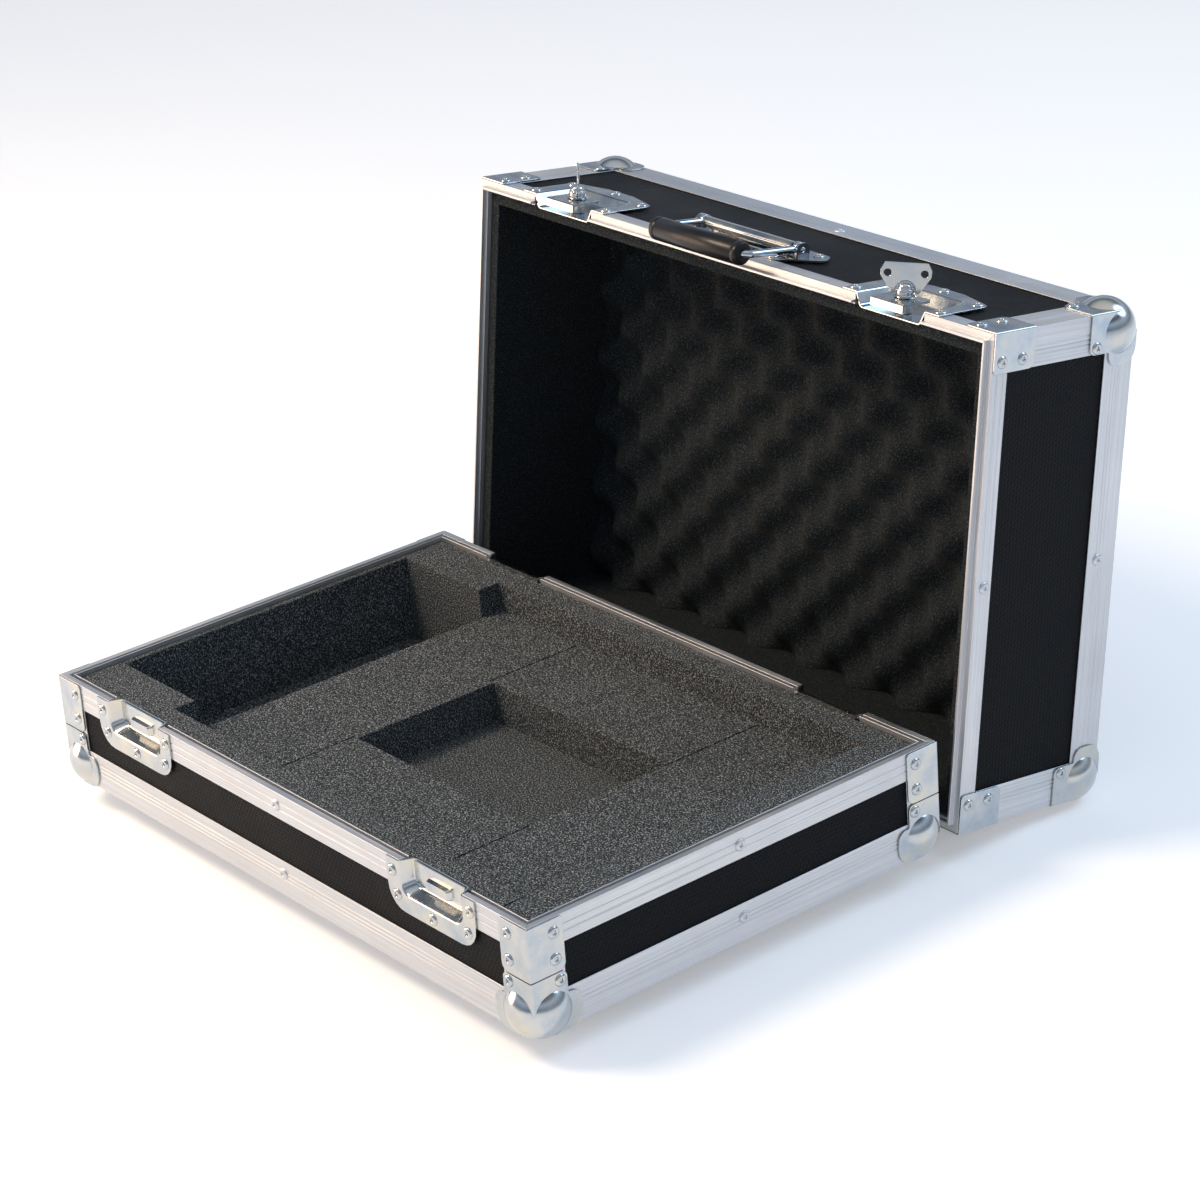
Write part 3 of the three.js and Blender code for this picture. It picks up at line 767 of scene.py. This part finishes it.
KEEPER_OUTLINE = [(-51, EDGE), (-51, -40, 18), (51, -40, 18), (51, EDGE)]
KEEPER_MOUTH = [(36, EDGE), (36, -25.6, 9), (-36, -25.6, 9), (-36, EDGE)]
KEEPER_RIVETS = [(-45, -10), (45, -10), (-41, -28.5), (41, -28.5), (0, -33.5)]
CATCH = [(-29, -0.5), (29, -0.5), (29, -17.5, 2), (-29, -17.5, 2)]
CATCH_MIDDLE = [(-14, -8.4, 2), (14, -8.4, 2), (14, -17, 1), (-14, -17, 1)]
keeper_plate = mesh_of(dished_plate, KEEPER_OUTLINE, KEEPER_MOUTH)
catch_plate = mesh_of(raised_middle, CATCH, CATCH_MIDDLE, -7.2, -3.6, 0.84)
LONG_SIDES = [(0, -1), (2, 1)]
for side, y_sign in LONG_SIDES:
    for x_sign in (-1, 1):
        bm = bmesh.new()
        along = x_sign * LATCH_X * (1 if side == 0 else -1)
        at = wall("base", side, BASE_HEIGHT) @ Matrix.Translation((along, 0, 0))
        add_copy(bm, keeper_plate, at)
        add_copy(bm, catch_plate, at)
        for x, y in KEEPER_RIVETS:
            add_rivet(bm, at, x, y, OUTER)
        place = place_name("front" if y_sign < 0 else "back", x_sign)
        name, node = f"pressed_keeper_{place}", f"keeper_{place}"
        make_piece(name, bm, zinc, "base", STEEL, node, bevel=0.2)


# ---- Butterfly latches in the lid
# Recessed rotary latches: a dished plate, a hook that the spindle draws in, the spindle with its
# stepped head and cross pin, and the butterfly wing that folds on it. All bright zinc plate.
SPINDLE_IN, WING_PIVOT, WING_GAUGE, WING_ARCH = 15, 7.4, 1.6, 7.9
WING_HOLE, WING_HOLE_AT, WING_HOLE_UP, WING_EYE = 2.9, 13.7, 13, 9.6
HOOK_NOSE, HOOK_OUT, HOOK_IN, HOOK_GAUGE = 3.5, 2.4, 4.6, 2.2
LATCH_OUTLINE = [
    (-51, EDGE),
    (-51, -52, 7),
    (-16, -62, 8),
    (16, -62, 8),
    (51, -52, 7),
    (51, EDGE),
]
LATCH_MOUTH = [(36, EDGE), (36, -46, 9), (-36, -46, 9), (-36, EDGE)]
LATCH_RIVETS = [(-45, -8), (45, -8), (-44, -47), (44, -47), (0, -56)]
latch_dish = mesh_of(dished_plate, LATCH_OUTLINE, LATCH_MOUTH)


def drawing_hook(bm):
    """The forked hook: a strap round the spindle's neck, its nose folded down past the rim."""
    strap = [
        (-17, -26, 2),
        (-17, HOOK_NOSE),
        (17, HOOK_NOSE),
        (17, -26, 2),
        (5.2, -26, 1),
        (5.2, -8, 4.5),
        (-5.2, -8, 4.5),
        (-5.2, -26, 1),
    ]
    filled_sheet(bm, rounded(strap), z=HOOK_OUT)
    front = [e for e in bm.edges if all(abs(v.co.y - HOOK_NOSE) < 0.01 for v in e.verts)]
    made = bmesh.ops.extrude_edge_only(bm, edges=front)
    nose = [g for g in made["geom"] if isinstance(g, bmesh.types.BMVert)]
    for vert in nose:
        vert.co.z = -HOOK_IN
    press_folds(bm, 1.6, 4)
    steel_gauge(bm, bm.faces[:], (0, 0, 1), HOOK_GAUGE)


SPINDLE = [
    (0, -8.8),
    (6.5, -8.8),
    (6.5, -1.2),
    (4.4, -1),
    (4.4, 2.8),
    (7.9, 2.8),
    (8.2, 3.1),
    (8.2, 4.3),
    (7.8, 4.6),
    (7, 5),
    (7, 6.3),
    (6.6, 6.5),
    (6.6, 8.6),
    (6.2, 9.1),
    (5.4, 9.3),
    (5.3, 10.6),
    (4.6, 11.9),
    (3.2, 13),
    (1.6, 13.6),
    (0, 13.7),
]


def pin_along_x(bm, radius, half, at=(0, 0, 0), chamfer=0.4):
    mesh = mesh_of(
        spun,
        [
            (0, -half),
            (radius - chamfer, -half),
            (radius, chamfer - half),
            (radius, half - chamfer),
            (radius - chamfer, half),
            (0, half),
        ],
        20,
    )
    add_copy(bm, mesh, Matrix.Translation(at) @ Matrix.Rotation(math.pi / 2, 4, "Y"))


def bore(radius, x, y, steps=16):
    turns = (math.tau * k / steps for k in range(steps))
    return [(x + radius * math.cos(a), y + radius * math.sin(a)) for a in turns]


def butterfly(bm):
    """The wing: a plate with two finger holes, arched over the spindle, on two rolled eyes."""
    arch = bore(WING_ARCH, 0, 0, 24)[:13]
    outline = [
        (-11.2, -1.2, 0.8),
        (-19, 11, 2.2),
        (-19, 15.5, 2.2),
        (-16, 21.2, 1.6),
        (16, 21.2, 1.6),
        (19, 15.5, 2.2),
        (19, 11, 2.2),
        (11.2, -1.2, 0.8),
        (WING_ARCH, -1.2),
    ]
    holes = [bore(WING_HOLE, x, WING_HOLE_UP) for x in (-WING_HOLE_AT, WING_HOLE_AT)]
    filled_sheet(bm, rounded(outline) + arch + [(-WING_ARCH, -1.2)], *holes, z=WING_GAUGE / 2)
    steel_gauge(bm, bm.faces[:], (0, 0, 1), WING_GAUGE)
    bm.transform(Matrix.Rotation(math.pi / 2, 4, "X"))
    for x in (-WING_EYE, WING_EYE):
        pin_along_x(bm, 2.1, 1.6, (x, 0, 0))


latch_hook = mesh_of(drawing_hook)
latch_wing = mesh_of(butterfly)
AT_REST = {
    "front_left": (-38, 0),
    "front_right": (45, 0),
    "back_left": (0, 50),
    "back_right": (0, 50),
}
for side, y_sign in LONG_SIDES:
    for x_sign in (-1, 1):
        along = x_sign * LATCH_X * (1 if side == 0 else -1)
        at = wall("lid", side, LID_HEIGHT) @ Matrix.Translation((along, 0, 0))
        place = place_name("back" if y_sign < 0 else "front", x_sign)
        spin, fold = AT_REST[place]
        turned = (
            at
            @ Matrix.Translation((0, -SPINDLE_IN, 0))
            @ Matrix.Rotation(math.radians(spin), 4, "Z")
        )
        folded = (
            turned
            @ Matrix.Translation((0, 0, WING_PIVOT))
            @ Matrix.Rotation(math.radians(fold), 4, "X")
        )
        dish = bmesh.new()
        add_copy(dish, latch_dish, at)
        for x, y in LATCH_RIVETS:
            add_rivet(dish, at, x, y, OUTER)
        hook = bmesh.new()
        add_copy(hook, latch_hook, at)
        head = bmesh.new()
        spun(head, SPINDLE)
        pin_along_x(head, 1.3, 11.3, (0, 0, WING_PIVOT))
        head.transform(turned)
        wing = bmesh.new()
        add_copy(wing, latch_wing, folded)
        pieces = (
            ("latch_dish", dish, "lid", "latch_plate", 0.2),
            ("drawing_hook", hook, f"hook_{place}", "latch_hook", 0.3),
            ("stepped_spindle", head, f"spindle_{place}", "latch_spindle", 0.0),
            ("butterfly_wing", wing, f"wing_{place}", "latch_wing", 0.25),
        )
        for name, bm, body, node, bevel in pieces:
            nodes = f"{node}_{place}"
            make_piece(f"{name}_{place}", bm, zinc, body, STEEL, nodes, bevel=bevel)


# ---- Handle
# A riveted plate is curled into a barrel round the pin, with an ear at each end. A bent steel
# bail swings on the pin, and a glossy black vinyl sleeve is its grip.
PIN_RADIUS, PIN_BORE, PIN_HALF = 2.5, 2.9, 60.5
BARREL_RADIUS, BARREL_FOOT, BARREL_HALF = 4.6, 7.2, 50
EAR_AT, EAR_OFF = 59, 0.6
ROD_RADIUS, BAIL_HALF, BAIL_BEND, BAIL_START = 3, 55, 7, 3.5
GRIP_OUT, GRIP_BEYOND = 10.2, 20
top_face = wall("lid", 2, LID_HEIGHT)
pin_frame = top_face @ Matrix.Translation((0, -PIN_IN, PIN_OUT))


def handle_plate(bm):
    outline = [
        (-46, -14, 6),
        (46, -14, 6),
        (76, -45, 8),
        (66, -58, 8),
        (-66, -58, 8),
        (-76, -45, 8),
    ]
    middle = [(-40, -27, 4), (40, -27, 4), (46, -43, 4), (-46, -43, 4)]
    raised_middle(bm, outline, middle, OUTER, OUTER + 0.9, 0.95)


def curled_barrel(bm):
    """The plate's edge curled round the pin, as a profile in y and z that runs along x."""
    profile = [(-BARREL_RADIUS, -BARREL_FOOT)]
    for radius, turns in ((BARREL_RADIUS, range(17)), (PIN_BORE, range(16, -1, -1))):
        for k in turns:
            angle = math.radians(180 - 15 * k)
            profile.append((radius * math.cos(angle), radius * math.sin(angle)))
    profile.append((-PIN_BORE, -BARREL_FOOT))
    along = Matrix(((0, 0, 1, 0), (1, 0, 0, 0), (0, 1, 0, 0), (0, 0, 0, 1)))
    sawn_length(bm, profile, -BARREL_HALF, BARREL_HALF, along)


def ear(bm):
    lug = [(-7, 0), (7, 0), (7, 13.4, 6.8), (-7, 13.4, 6.8)]
    filled_sheet(bm, rounded(lug), bore(PIN_BORE, 0, PIN_OUT - EAR_OFF), z=1)
    steel_gauge(bm, bm.faces[:], (0, 0, 1), 2)
    bm.transform(Matrix(((0, 0, 1, 0), (1, 0, 0, 0), (0, 1, 0, EAR_OFF), (0, 0, 0, 1))))


bm = bmesh.new()
add_copy(bm, mesh_of(handle_plate), top_face)
add_copy(bm, mesh_of(curled_barrel), pin_frame)
for x in (-EAR_AT, EAR_AT):
    add_copy(bm, mesh_of(ear), top_face @ Matrix.Translation((x, -PIN_IN, 0)))
for x, y in ((-60, -51), (0, -51), (60, -51), (-42, -19), (0, -19), (42, -19)):
    add_rivet(bm, top_face, x, y, OUTER)
make_piece("handle_bracket", bm, zinc, "lid", STEEL, "handle_plate", bevel=0.2)

bm = bmesh.new()
pin_along_x(bm, PIN_RADIUS, PIN_HALF, chamfer=0.6)
bm.transform(pin_frame)
make_piece("handle_hinge_pin", bm, zinc, "handle_pin", STEEL, "handle_pin")


def round_rod(bm, radius, start, legs):
    """A round bar from start along +y: legs are ("run", step) or ("bend", centre, angle)."""
    face_y = Matrix.Translation(start) @ Matrix.Rotation(math.pi / 2, 4, "X")
    made = bmesh.ops.create_circle(bm, cap_ends=True, segments=16, radius=radius, matrix=face_y)
    verts = made["verts"]
    ends = {f for v in verts for f in v.link_faces}
    tip = list(ends)
    for leg in legs:
        if leg[0] == "run":
            made = bmesh.ops.extrude_face_region(bm, geom=tip)
            tip = [g for g in made["geom"] if isinstance(g, bmesh.types.BMFace)]
            moved = [g for g in made["geom"] if isinstance(g, bmesh.types.BMVert)]
            bmesh.ops.translate(bm, verts=moved, vec=leg[1])
        else:
            made = bmesh.ops.spin(
                bm, geom=tip, axis=(0, 0, 1), cent=leg[1], steps=8, angle=leg[2]
            )
            tip = [g for g in made["geom_last"] if isinstance(g, bmesh.types.BMFace)]


reach = PIN_IN + GRIP_BEYOND
rise = GRIP_OUT - PIN_OUT
bail_length = math.hypot(reach, rise)
bail_frame = pin_frame @ Matrix.Rotation(math.atan2(rise, reach), 4, "X")
bm = bmesh.new()
straight = bail_length - BAIL_BEND
across = 2 * (BAIL_HALF - BAIL_BEND)
bar = bmesh.new()
round_rod(
    bar,
    ROD_RADIUS,
    (-BAIL_HALF, BAIL_START, 0),
    [
        ("run", (0, straight - BAIL_START, 0)),
        ("bend", (BAIL_BEND - BAIL_HALF, straight, 0), -math.pi / 2),
        ("run", (across, 0, 0)),
        ("bend", (BAIL_HALF - BAIL_BEND, straight, 0), -math.pi / 2),
        ("run", (0, BAIL_START - straight, 0)),
    ],
)
bmesh.ops.remove_doubles(bar, verts=bar.verts, dist=0.001)
round_faces = [f for f in bar.faces if len(f.verts) > 4]
inner = [f for f in round_faces if abs(f.calc_center_median().y - BAIL_START) > 0.1]
bmesh.ops.delete(bar, geom=inner, context="FACES_ONLY")
bail = bpy.data.meshes.new("bail")
bar.to_mesh(bail)
bar.free()
add_copy(bm, bail, Matrix.Identity(4))
EYE = [(2.9, -2.4), (5.2, -2.4), (5.6, -2), (5.6, 2), (5.2, 2.4), (2.9, 2.4), (2.9, -2.4)]
for x in (-BAIL_HALF, BAIL_HALF):
    along_x = Matrix.Translation((x, 0, 0)) @ Matrix.Rotation(math.pi / 2, 4, "Y")
    add_copy(bm, mesh_of(spun, EYE, 24), along_x)
bm.transform(bail_frame)
make_piece("handle_bent_bail", bm, zinc, "handle", STEEL, "handle_bail")


def black_vinyl():
    """Dip-moulded vinyl: glossy, with faint mould ripples and dulled patches from hands."""
    material, tree, shader = new_material("black_vinyl", (0.003, 0.003, 0.004), 0.22)
    shader.inputs["Coat Weight"].default_value = 0.08
    shader.inputs["Specular IOR Level"].default_value = 0.3
    place = tree.nodes.new("ShaderNodeTexCoord").outputs["Object"]
    ripples = grain(tree, place, 60.0, 0.00005)
    tree.links.new(spread(tree, ripples.outputs["Mask"], 0.3, 0.42), shader.inputs["Roughness"])
    tree.links.new(ripples.outputs["Normal"], shader.inputs["Normal"])
    return material


GRIP = [
    (3.3, -51),
    (7.4, -51),
    (8.6, -50.6),
    (9.2, -49.6),
    (9.4, -48),
    (9.4, -45.4),
    (9.15, -45),
    (9.4, -44.6),
    (9.4, 44.6),
    (9.15, 45),
    (9.4, 45.4),
    (9.4, 48),
    (9.2, 49.6),
    (8.6, 50.6),
    (7.4, 51),
    (3.3, 51),
    (3.3, -51),
]
bm = bmesh.new()
spun(bm, GRIP, 40)
bm.transform(
    bail_frame
    @ Matrix.Translation((0, bail_length, 0))
    @ Matrix.Rotation(math.pi / 2, 4, "Y")
)
make_piece("handle_vinyl_grip", bm, black_vinyl(), "handle", "black_vinyl", "handle_grip")


# ---- Rubber feet
# Four tapered rubber feet, moulded in one piece and screwed under the floor from inside.
FOOT = [
    (0, -23.5),
    (14.6, -23.5),
    (15.6, -23),
    (16.1, -21.8),
    (18.9, 0),
    (18.6, 0.8),
    (18, 1),
    (0, 1),
]


def matt_rubber():
    material, tree, shader = new_material("matt_rubber", (0.02, 0.02, 0.021), 0.8)
    place = tree.nodes.new("ShaderNodeTexCoord").outputs["Object"]
    dusty = grain(tree, place, 260.0, 0.0001)
    tone = ramp(
        tree,
        dusty.outputs["Mask"],
        [(0.35, (0.014, 0.014, 0.015)), (0.75, (0.05, 0.048, 0.046))],
    )
    tree.links.new(tone, shader.inputs["Base Color"])
    tree.links.new(dusty.outputs["Normal"], shader.inputs["Normal"])
    return material


rubber = matt_rubber()
FOOT_IN = 75
for x_sign in (-1, 1):
    for y_sign in (-1, 1):
        bm = bmesh.new()
        spun(bm, FOOT, 40)
        spot = (x_sign * (LENGTH / 2 - FOOT_IN), y_sign * (DEPTH / 2 - FOOT_IN), 0)
        bm.transform(BASE @ Matrix.Translation(spot))
        place = place_name("front" if y_sign < 0 else "back", x_sign)
        make_piece(f"rubber_foot_{place}", bm, rubber, "base", "black_rubber", f"foot_{place}")


# ---- Foam in the base
# Blocks of charcoal polyethylene foam glued into the tray and cut for one device: a long slot,
# a wide shelf and a pocket in it. The glued joints between blocks show as thin dark lines.
FOAM_TOP, FOAM_IN, FOAM_UNDER = 84, 9.3, 8
SLOT = (-285, -184, -141, 141, 10)
SHELF = (-184, 258, -160.5, 162, 58.5)
POCKET = (-77, 137, -63.5, 70.5, 24)
SEAM, SEAM_DEEP = 0.7, 3
SEAMS = [
    (-81.6, -160.5, -63.5, 58.5),
    (-81.6, 70.5, 162, 58.5),
    (136.8, -160.5, -63.5, 58.5),
    (136.8, 70.5, 162, 58.5),
    (256.8, -183.7, -160.5, 84),
]


def foam_sheet(half_x, half_y, top, xs, ys):
    """The flat top of a foam block, cut through wherever a step will start or end."""
    bm = bmesh.new()
    size = Matrix.Diagonal((half_x, half_y, 1, 1))
    level = Matrix.Translation((0, 0, top)) @ size
    bmesh.ops.create_grid(bm, x_segments=1, y_segments=1, size=1, matrix=level)
    cuts = [((1, 0, 0), x) for x in sorted(xs)] + [((0, 1, 0), y) for y in sorted(ys)]
    for across, value in cuts:
        bmesh.ops.bisect_plane(
            bm,
            geom=bm.verts[:] + bm.edges[:] + bm.faces[:],
            plane_co=Vector(across) * value,
            plane_no=across,
        )
    return bm


def sink(bm, floor, *areas):
    """Pushes the level parts of a foam face inside areas (x0, x1, y0, y1) down to a floor."""
    inside = []
    for face in bm.faces:
        place = face.calc_center_median()
        face.normal_update()
        if abs(face.normal.z) < 0.5 or place.z < floor:
            continue
        if any(x0 < place.x < x1 and y0 < place.y < y1 for x0, x1, y0, y1 in areas):
            inside.append(face)
    made = bmesh.ops.extrude_face_region(bm, geom=inside)
    for vert in (g for g in made["geom"] if isinstance(g, bmesh.types.BMVert)):
        vert.co.z = floor
    left = [f for f in inside if f.is_valid]
    bmesh.ops.delete(bm, geom=left, context="FACES_ONLY")


def close_below(bm, level):
    """Drops the outer edge of an open foam face to a level and closes it underneath."""
    rim = [e for e in bm.edges if len(e.link_faces) == 1]
    made = bmesh.ops.extrude_edge_only(bm, edges=rim)
    for vert in (g for g in made["geom"] if isinstance(g, bmesh.types.BMVert)):
        vert.co.z = level
    low = [g for g in made["geom"] if isinstance(g, bmesh.types.BMEdge)]
    bmesh.ops.triangle_fill(bm, use_beauty=True, use_dissolve=True, edges=low)


def foam_material(name, dark, light, painted_glint):
    """Closed-cell foam: open cut cells as pits, and a scatter of specks painted bright into the
    colour as glints of light off the cut cells.
    """
    material, tree, shader = new_material(name, dark, 0.95)
    shader.inputs["Specular IOR Level"].default_value = 0.25
    place = tree.nodes.new("ShaderNodeTexCoord").outputs["Object"]
    cells = add_node(tree, "ShaderNodeTexVoronoi", Scale=900.0)
    tree.links.new(place, cells.inputs["Vector"])
    pits = grain(tree, place, 820.0, 0.0007)
    bump = add_node(tree, "ShaderNodeBump", Strength=0.7, Distance=0.0006)
    tree.links.new(cells.outputs["Distance"], bump.inputs["Height"])
    tree.links.new(pits.outputs["Normal"], bump.inputs["Normal"])
    tree.links.new(bump.outputs["Normal"], shader.inputs["Normal"])
    # The brightest stop is a painted highlight: glints off the cut cells, painted as light
    # specks.
    tone = ramp(
        tree,
        pits.outputs["Mask"],
        [(0.38, dark), (0.54, light), (0.64, painted_glint)],
    )
    tree.links.new(tone, shader.inputs["Base Color"])
    return material


FOAM_HALF = (LENGTH / 2 - FOAM_IN, DEPTH / 2 - FOAM_IN)
seam_lines = {x + s for x, *_ in SEAMS for s in (-SEAM, SEAM)}
xs = {*SLOT[:2], *SHELF[:2], *POCKET[:2], *seam_lines}
ys = {*SLOT[2:4], *SHELF[2:4], *POCKET[2:4]}
bm = foam_sheet(*FOAM_HALF, FOAM_TOP, xs, ys)
sink(bm, SHELF[4], SHELF[:4], SLOT[:4])
sink(bm, SLOT[4], SLOT[:4])
sink(bm, POCKET[4], POCKET[:4])
for x, y0, y1, top in SEAMS:
    sink(bm, top - SEAM_DEEP, (x - SEAM, x + SEAM, y0, y1))
close_below(bm, FOAM_UNDER)
bm.transform(BASE)
# Base foam colours: dark tone, lighter tone, and the painted glint of the specks.
charcoal = foam_material(
    "charcoal_foam", (0.012, 0.0145, 0.016), (0.05, 0.058, 0.062), (0.42, 0.44, 0.45)
)
base_foam = make_piece("cut_base_foam", bm, charcoal, "base", "foam", "base_foam", bevel=0.6)


# ---- Foam in the lid
# A 10 mm foam lining round the walls and a sheet of egg-crate foam on the closed face, whose
# peaks hold the device down when the lid is on.
LINING, LINING_SHORT = 10, 4
EGG_PITCH, EGG_FOOT, EGG_DIP, EGG_PEAK, EGG_ROUND, EGG_CELL = 60, 14, 17, 38, 1.15, 3.6
EGG_GAP, EGG_LIFT = 0.5, 0.3
lining_in = FOAM_IN + LINING


def egg_crate():
    bm = bmesh.new()
    x, y = (size / 2 - lining_in - EGG_GAP for size in (LENGTH, DEPTH))
    bmesh.ops.create_grid(
        bm, x_segments=round(2 * x / EGG_CELL), y_segments=round(2 * y / EGG_CELL), size=1
    )
    for vert in bm.verts:
        vert.co.x *= x
        vert.co.y *= y
        turn = math.tau / EGG_PITCH
        wave = math.cos(turn * vert.co.x) * math.cos(turn * vert.co.y)
        vert.co.z = EGG_DIP + (EGG_PEAK - EGG_DIP) * (0.5 + 0.5 * wave) ** EGG_ROUND
    close_below(bm, EGG_FOOT + EGG_LIFT)
    bm.transform(LID)
    return bm


# The lid foam is the base's charcoal foam painted about three times darker, as painted shade
# inside the lid; its specks are dimmer painted glints.
lid_foam_painted_shade = foam_material(
    "lid_foam", (0.0045, 0.0065, 0.0078), (0.014, 0.0185, 0.021), (0.05, 0.06, 0.065)
)
x, y = LENGTH / 2 - lining_in, DEPTH / 2 - lining_in
bm = foam_sheet(*FOAM_HALF, LID_HEIGHT - LINING_SHORT, (-x, x), (-y, y))
sink(bm, EGG_FOOT, (-x, x, -y, y))
close_below(bm, FOAM_UNDER)
bm.transform(LID)
lid_lining = make_piece("lid_foam_lining", bm, lid_foam_painted_shade, "lid", "foam", "lid_foam", bevel=0.8)
egg_foam = make_piece("lid_egg_crate_foam", egg_crate(), lid_foam_painted_shade, "lid", "foam", "lid_foam")


# ---- Stage, lights and camera
# A plain pale floor under a bright even sky, a warm key from the front left and a cool fill
# from the right and above.
bm = bmesh.new()
bmesh.ops.create_grid(bm, x_segments=4, y_segments=4, size=30)
mesh = bpy.data.meshes.new("floor")
bm.to_mesh(mesh)
bm.free()
floor = bpy.data.objects.new("floor", mesh)
bpy.context.scene.collection.objects.link(floor)
pale, _, shader = new_material("pale_floor", (0.86, 0.86, 0.86), 0.9)
shader.inputs["Emission Color"].default_value = (0.97, 0.98, 1.0, 1)
shader.inputs["Emission Strength"].default_value = 0.28
mesh.materials.append(pale)

world = bpy.data.worlds.new("studio")
world.use_nodes = True
tree = world.node_tree
sky = tree.nodes["Background"]
sky.inputs["Strength"].default_value = 0.75
toward = tree.nodes.new("ShaderNodeTexCoord").outputs["Generated"]
split = tree.nodes.new("ShaderNodeSeparateXYZ")
tree.links.new(toward, split.inputs["Vector"])
shade = ramp(
    tree,
    split.outputs["Z"],
    [
        (0.0, (0.8, 0.82, 0.86)),
        (0.12, (0.3, 0.36, 0.46)),
        (0.25, (0.5, 0.6, 0.75)),
        (0.42, (0.8, 0.88, 1.0)),
        (0.62, (0.12, 0.15, 0.2)),
        (0.85, (0.75, 0.8, 0.9)),
        (1.0, (1.0, 1.0, 1.0)),
    ],
)
tree.links.new(shade, sky.inputs["Color"])
bpy.context.scene.world = world
bpy.context.scene.view_settings.view_transform = "Standard"


def softbox(name, azimuth, elevation, distance, size, watts, colour):
    light = bpy.data.lights.new(name, "AREA")
    light.shape = "DISK"
    light.size = size
    light.energy = watts
    light.color = colour
    lamp = bpy.data.objects.new(name, light)
    a, e = math.radians(azimuth), math.radians(elevation)
    back = Vector((math.sin(a) * math.cos(e), -math.cos(a) * math.cos(e), math.sin(e)))
    lamp.location = Vector((0, 0, 0.15)) + back * distance
    lamp.rotation_mode = "QUATERNION"
    lamp.rotation_quaternion = back.to_track_quat("Z", "Y")
    bpy.context.scene.collection.objects.link(lamp)


softbox("key", -35, 50, 2.6, 0.9, 46, (1.0, 0.82, 0.62))
softbox("cool_fill", 150, 40, 3.0, 1.6, 30, (0.5, 0.72, 1.0))
softbox("low_warm", -50, 8, 2.4, 1.4, 26, (1.0, 0.66, 0.42))

CAMERA_PLACE = Vector((2.0028, -1.5377, 1.2829))
CAMERA_AZIMUTH, CAMERA_ELEVATION, CAMERA_ROLL = 52.217, 23.915, -4.403
camera = bpy.data.cameras.new("camera")
camera.lens = 106.3
camera.sensor_width = 36
viewer = bpy.data.objects.new("camera", camera)
viewer.matrix_world = (
    Matrix.Translation(CAMERA_PLACE)
    @ Matrix.Rotation(math.radians(CAMERA_AZIMUTH), 4, "Z")
    @ Matrix.Rotation(math.radians(90 - CAMERA_ELEVATION), 4, "X")
    @ Matrix.Rotation(math.radians(CAMERA_ROLL), 4, "Z")
)
bpy.context.scene.collection.objects.link(viewer)
bpy.context.scene.camera = viewer
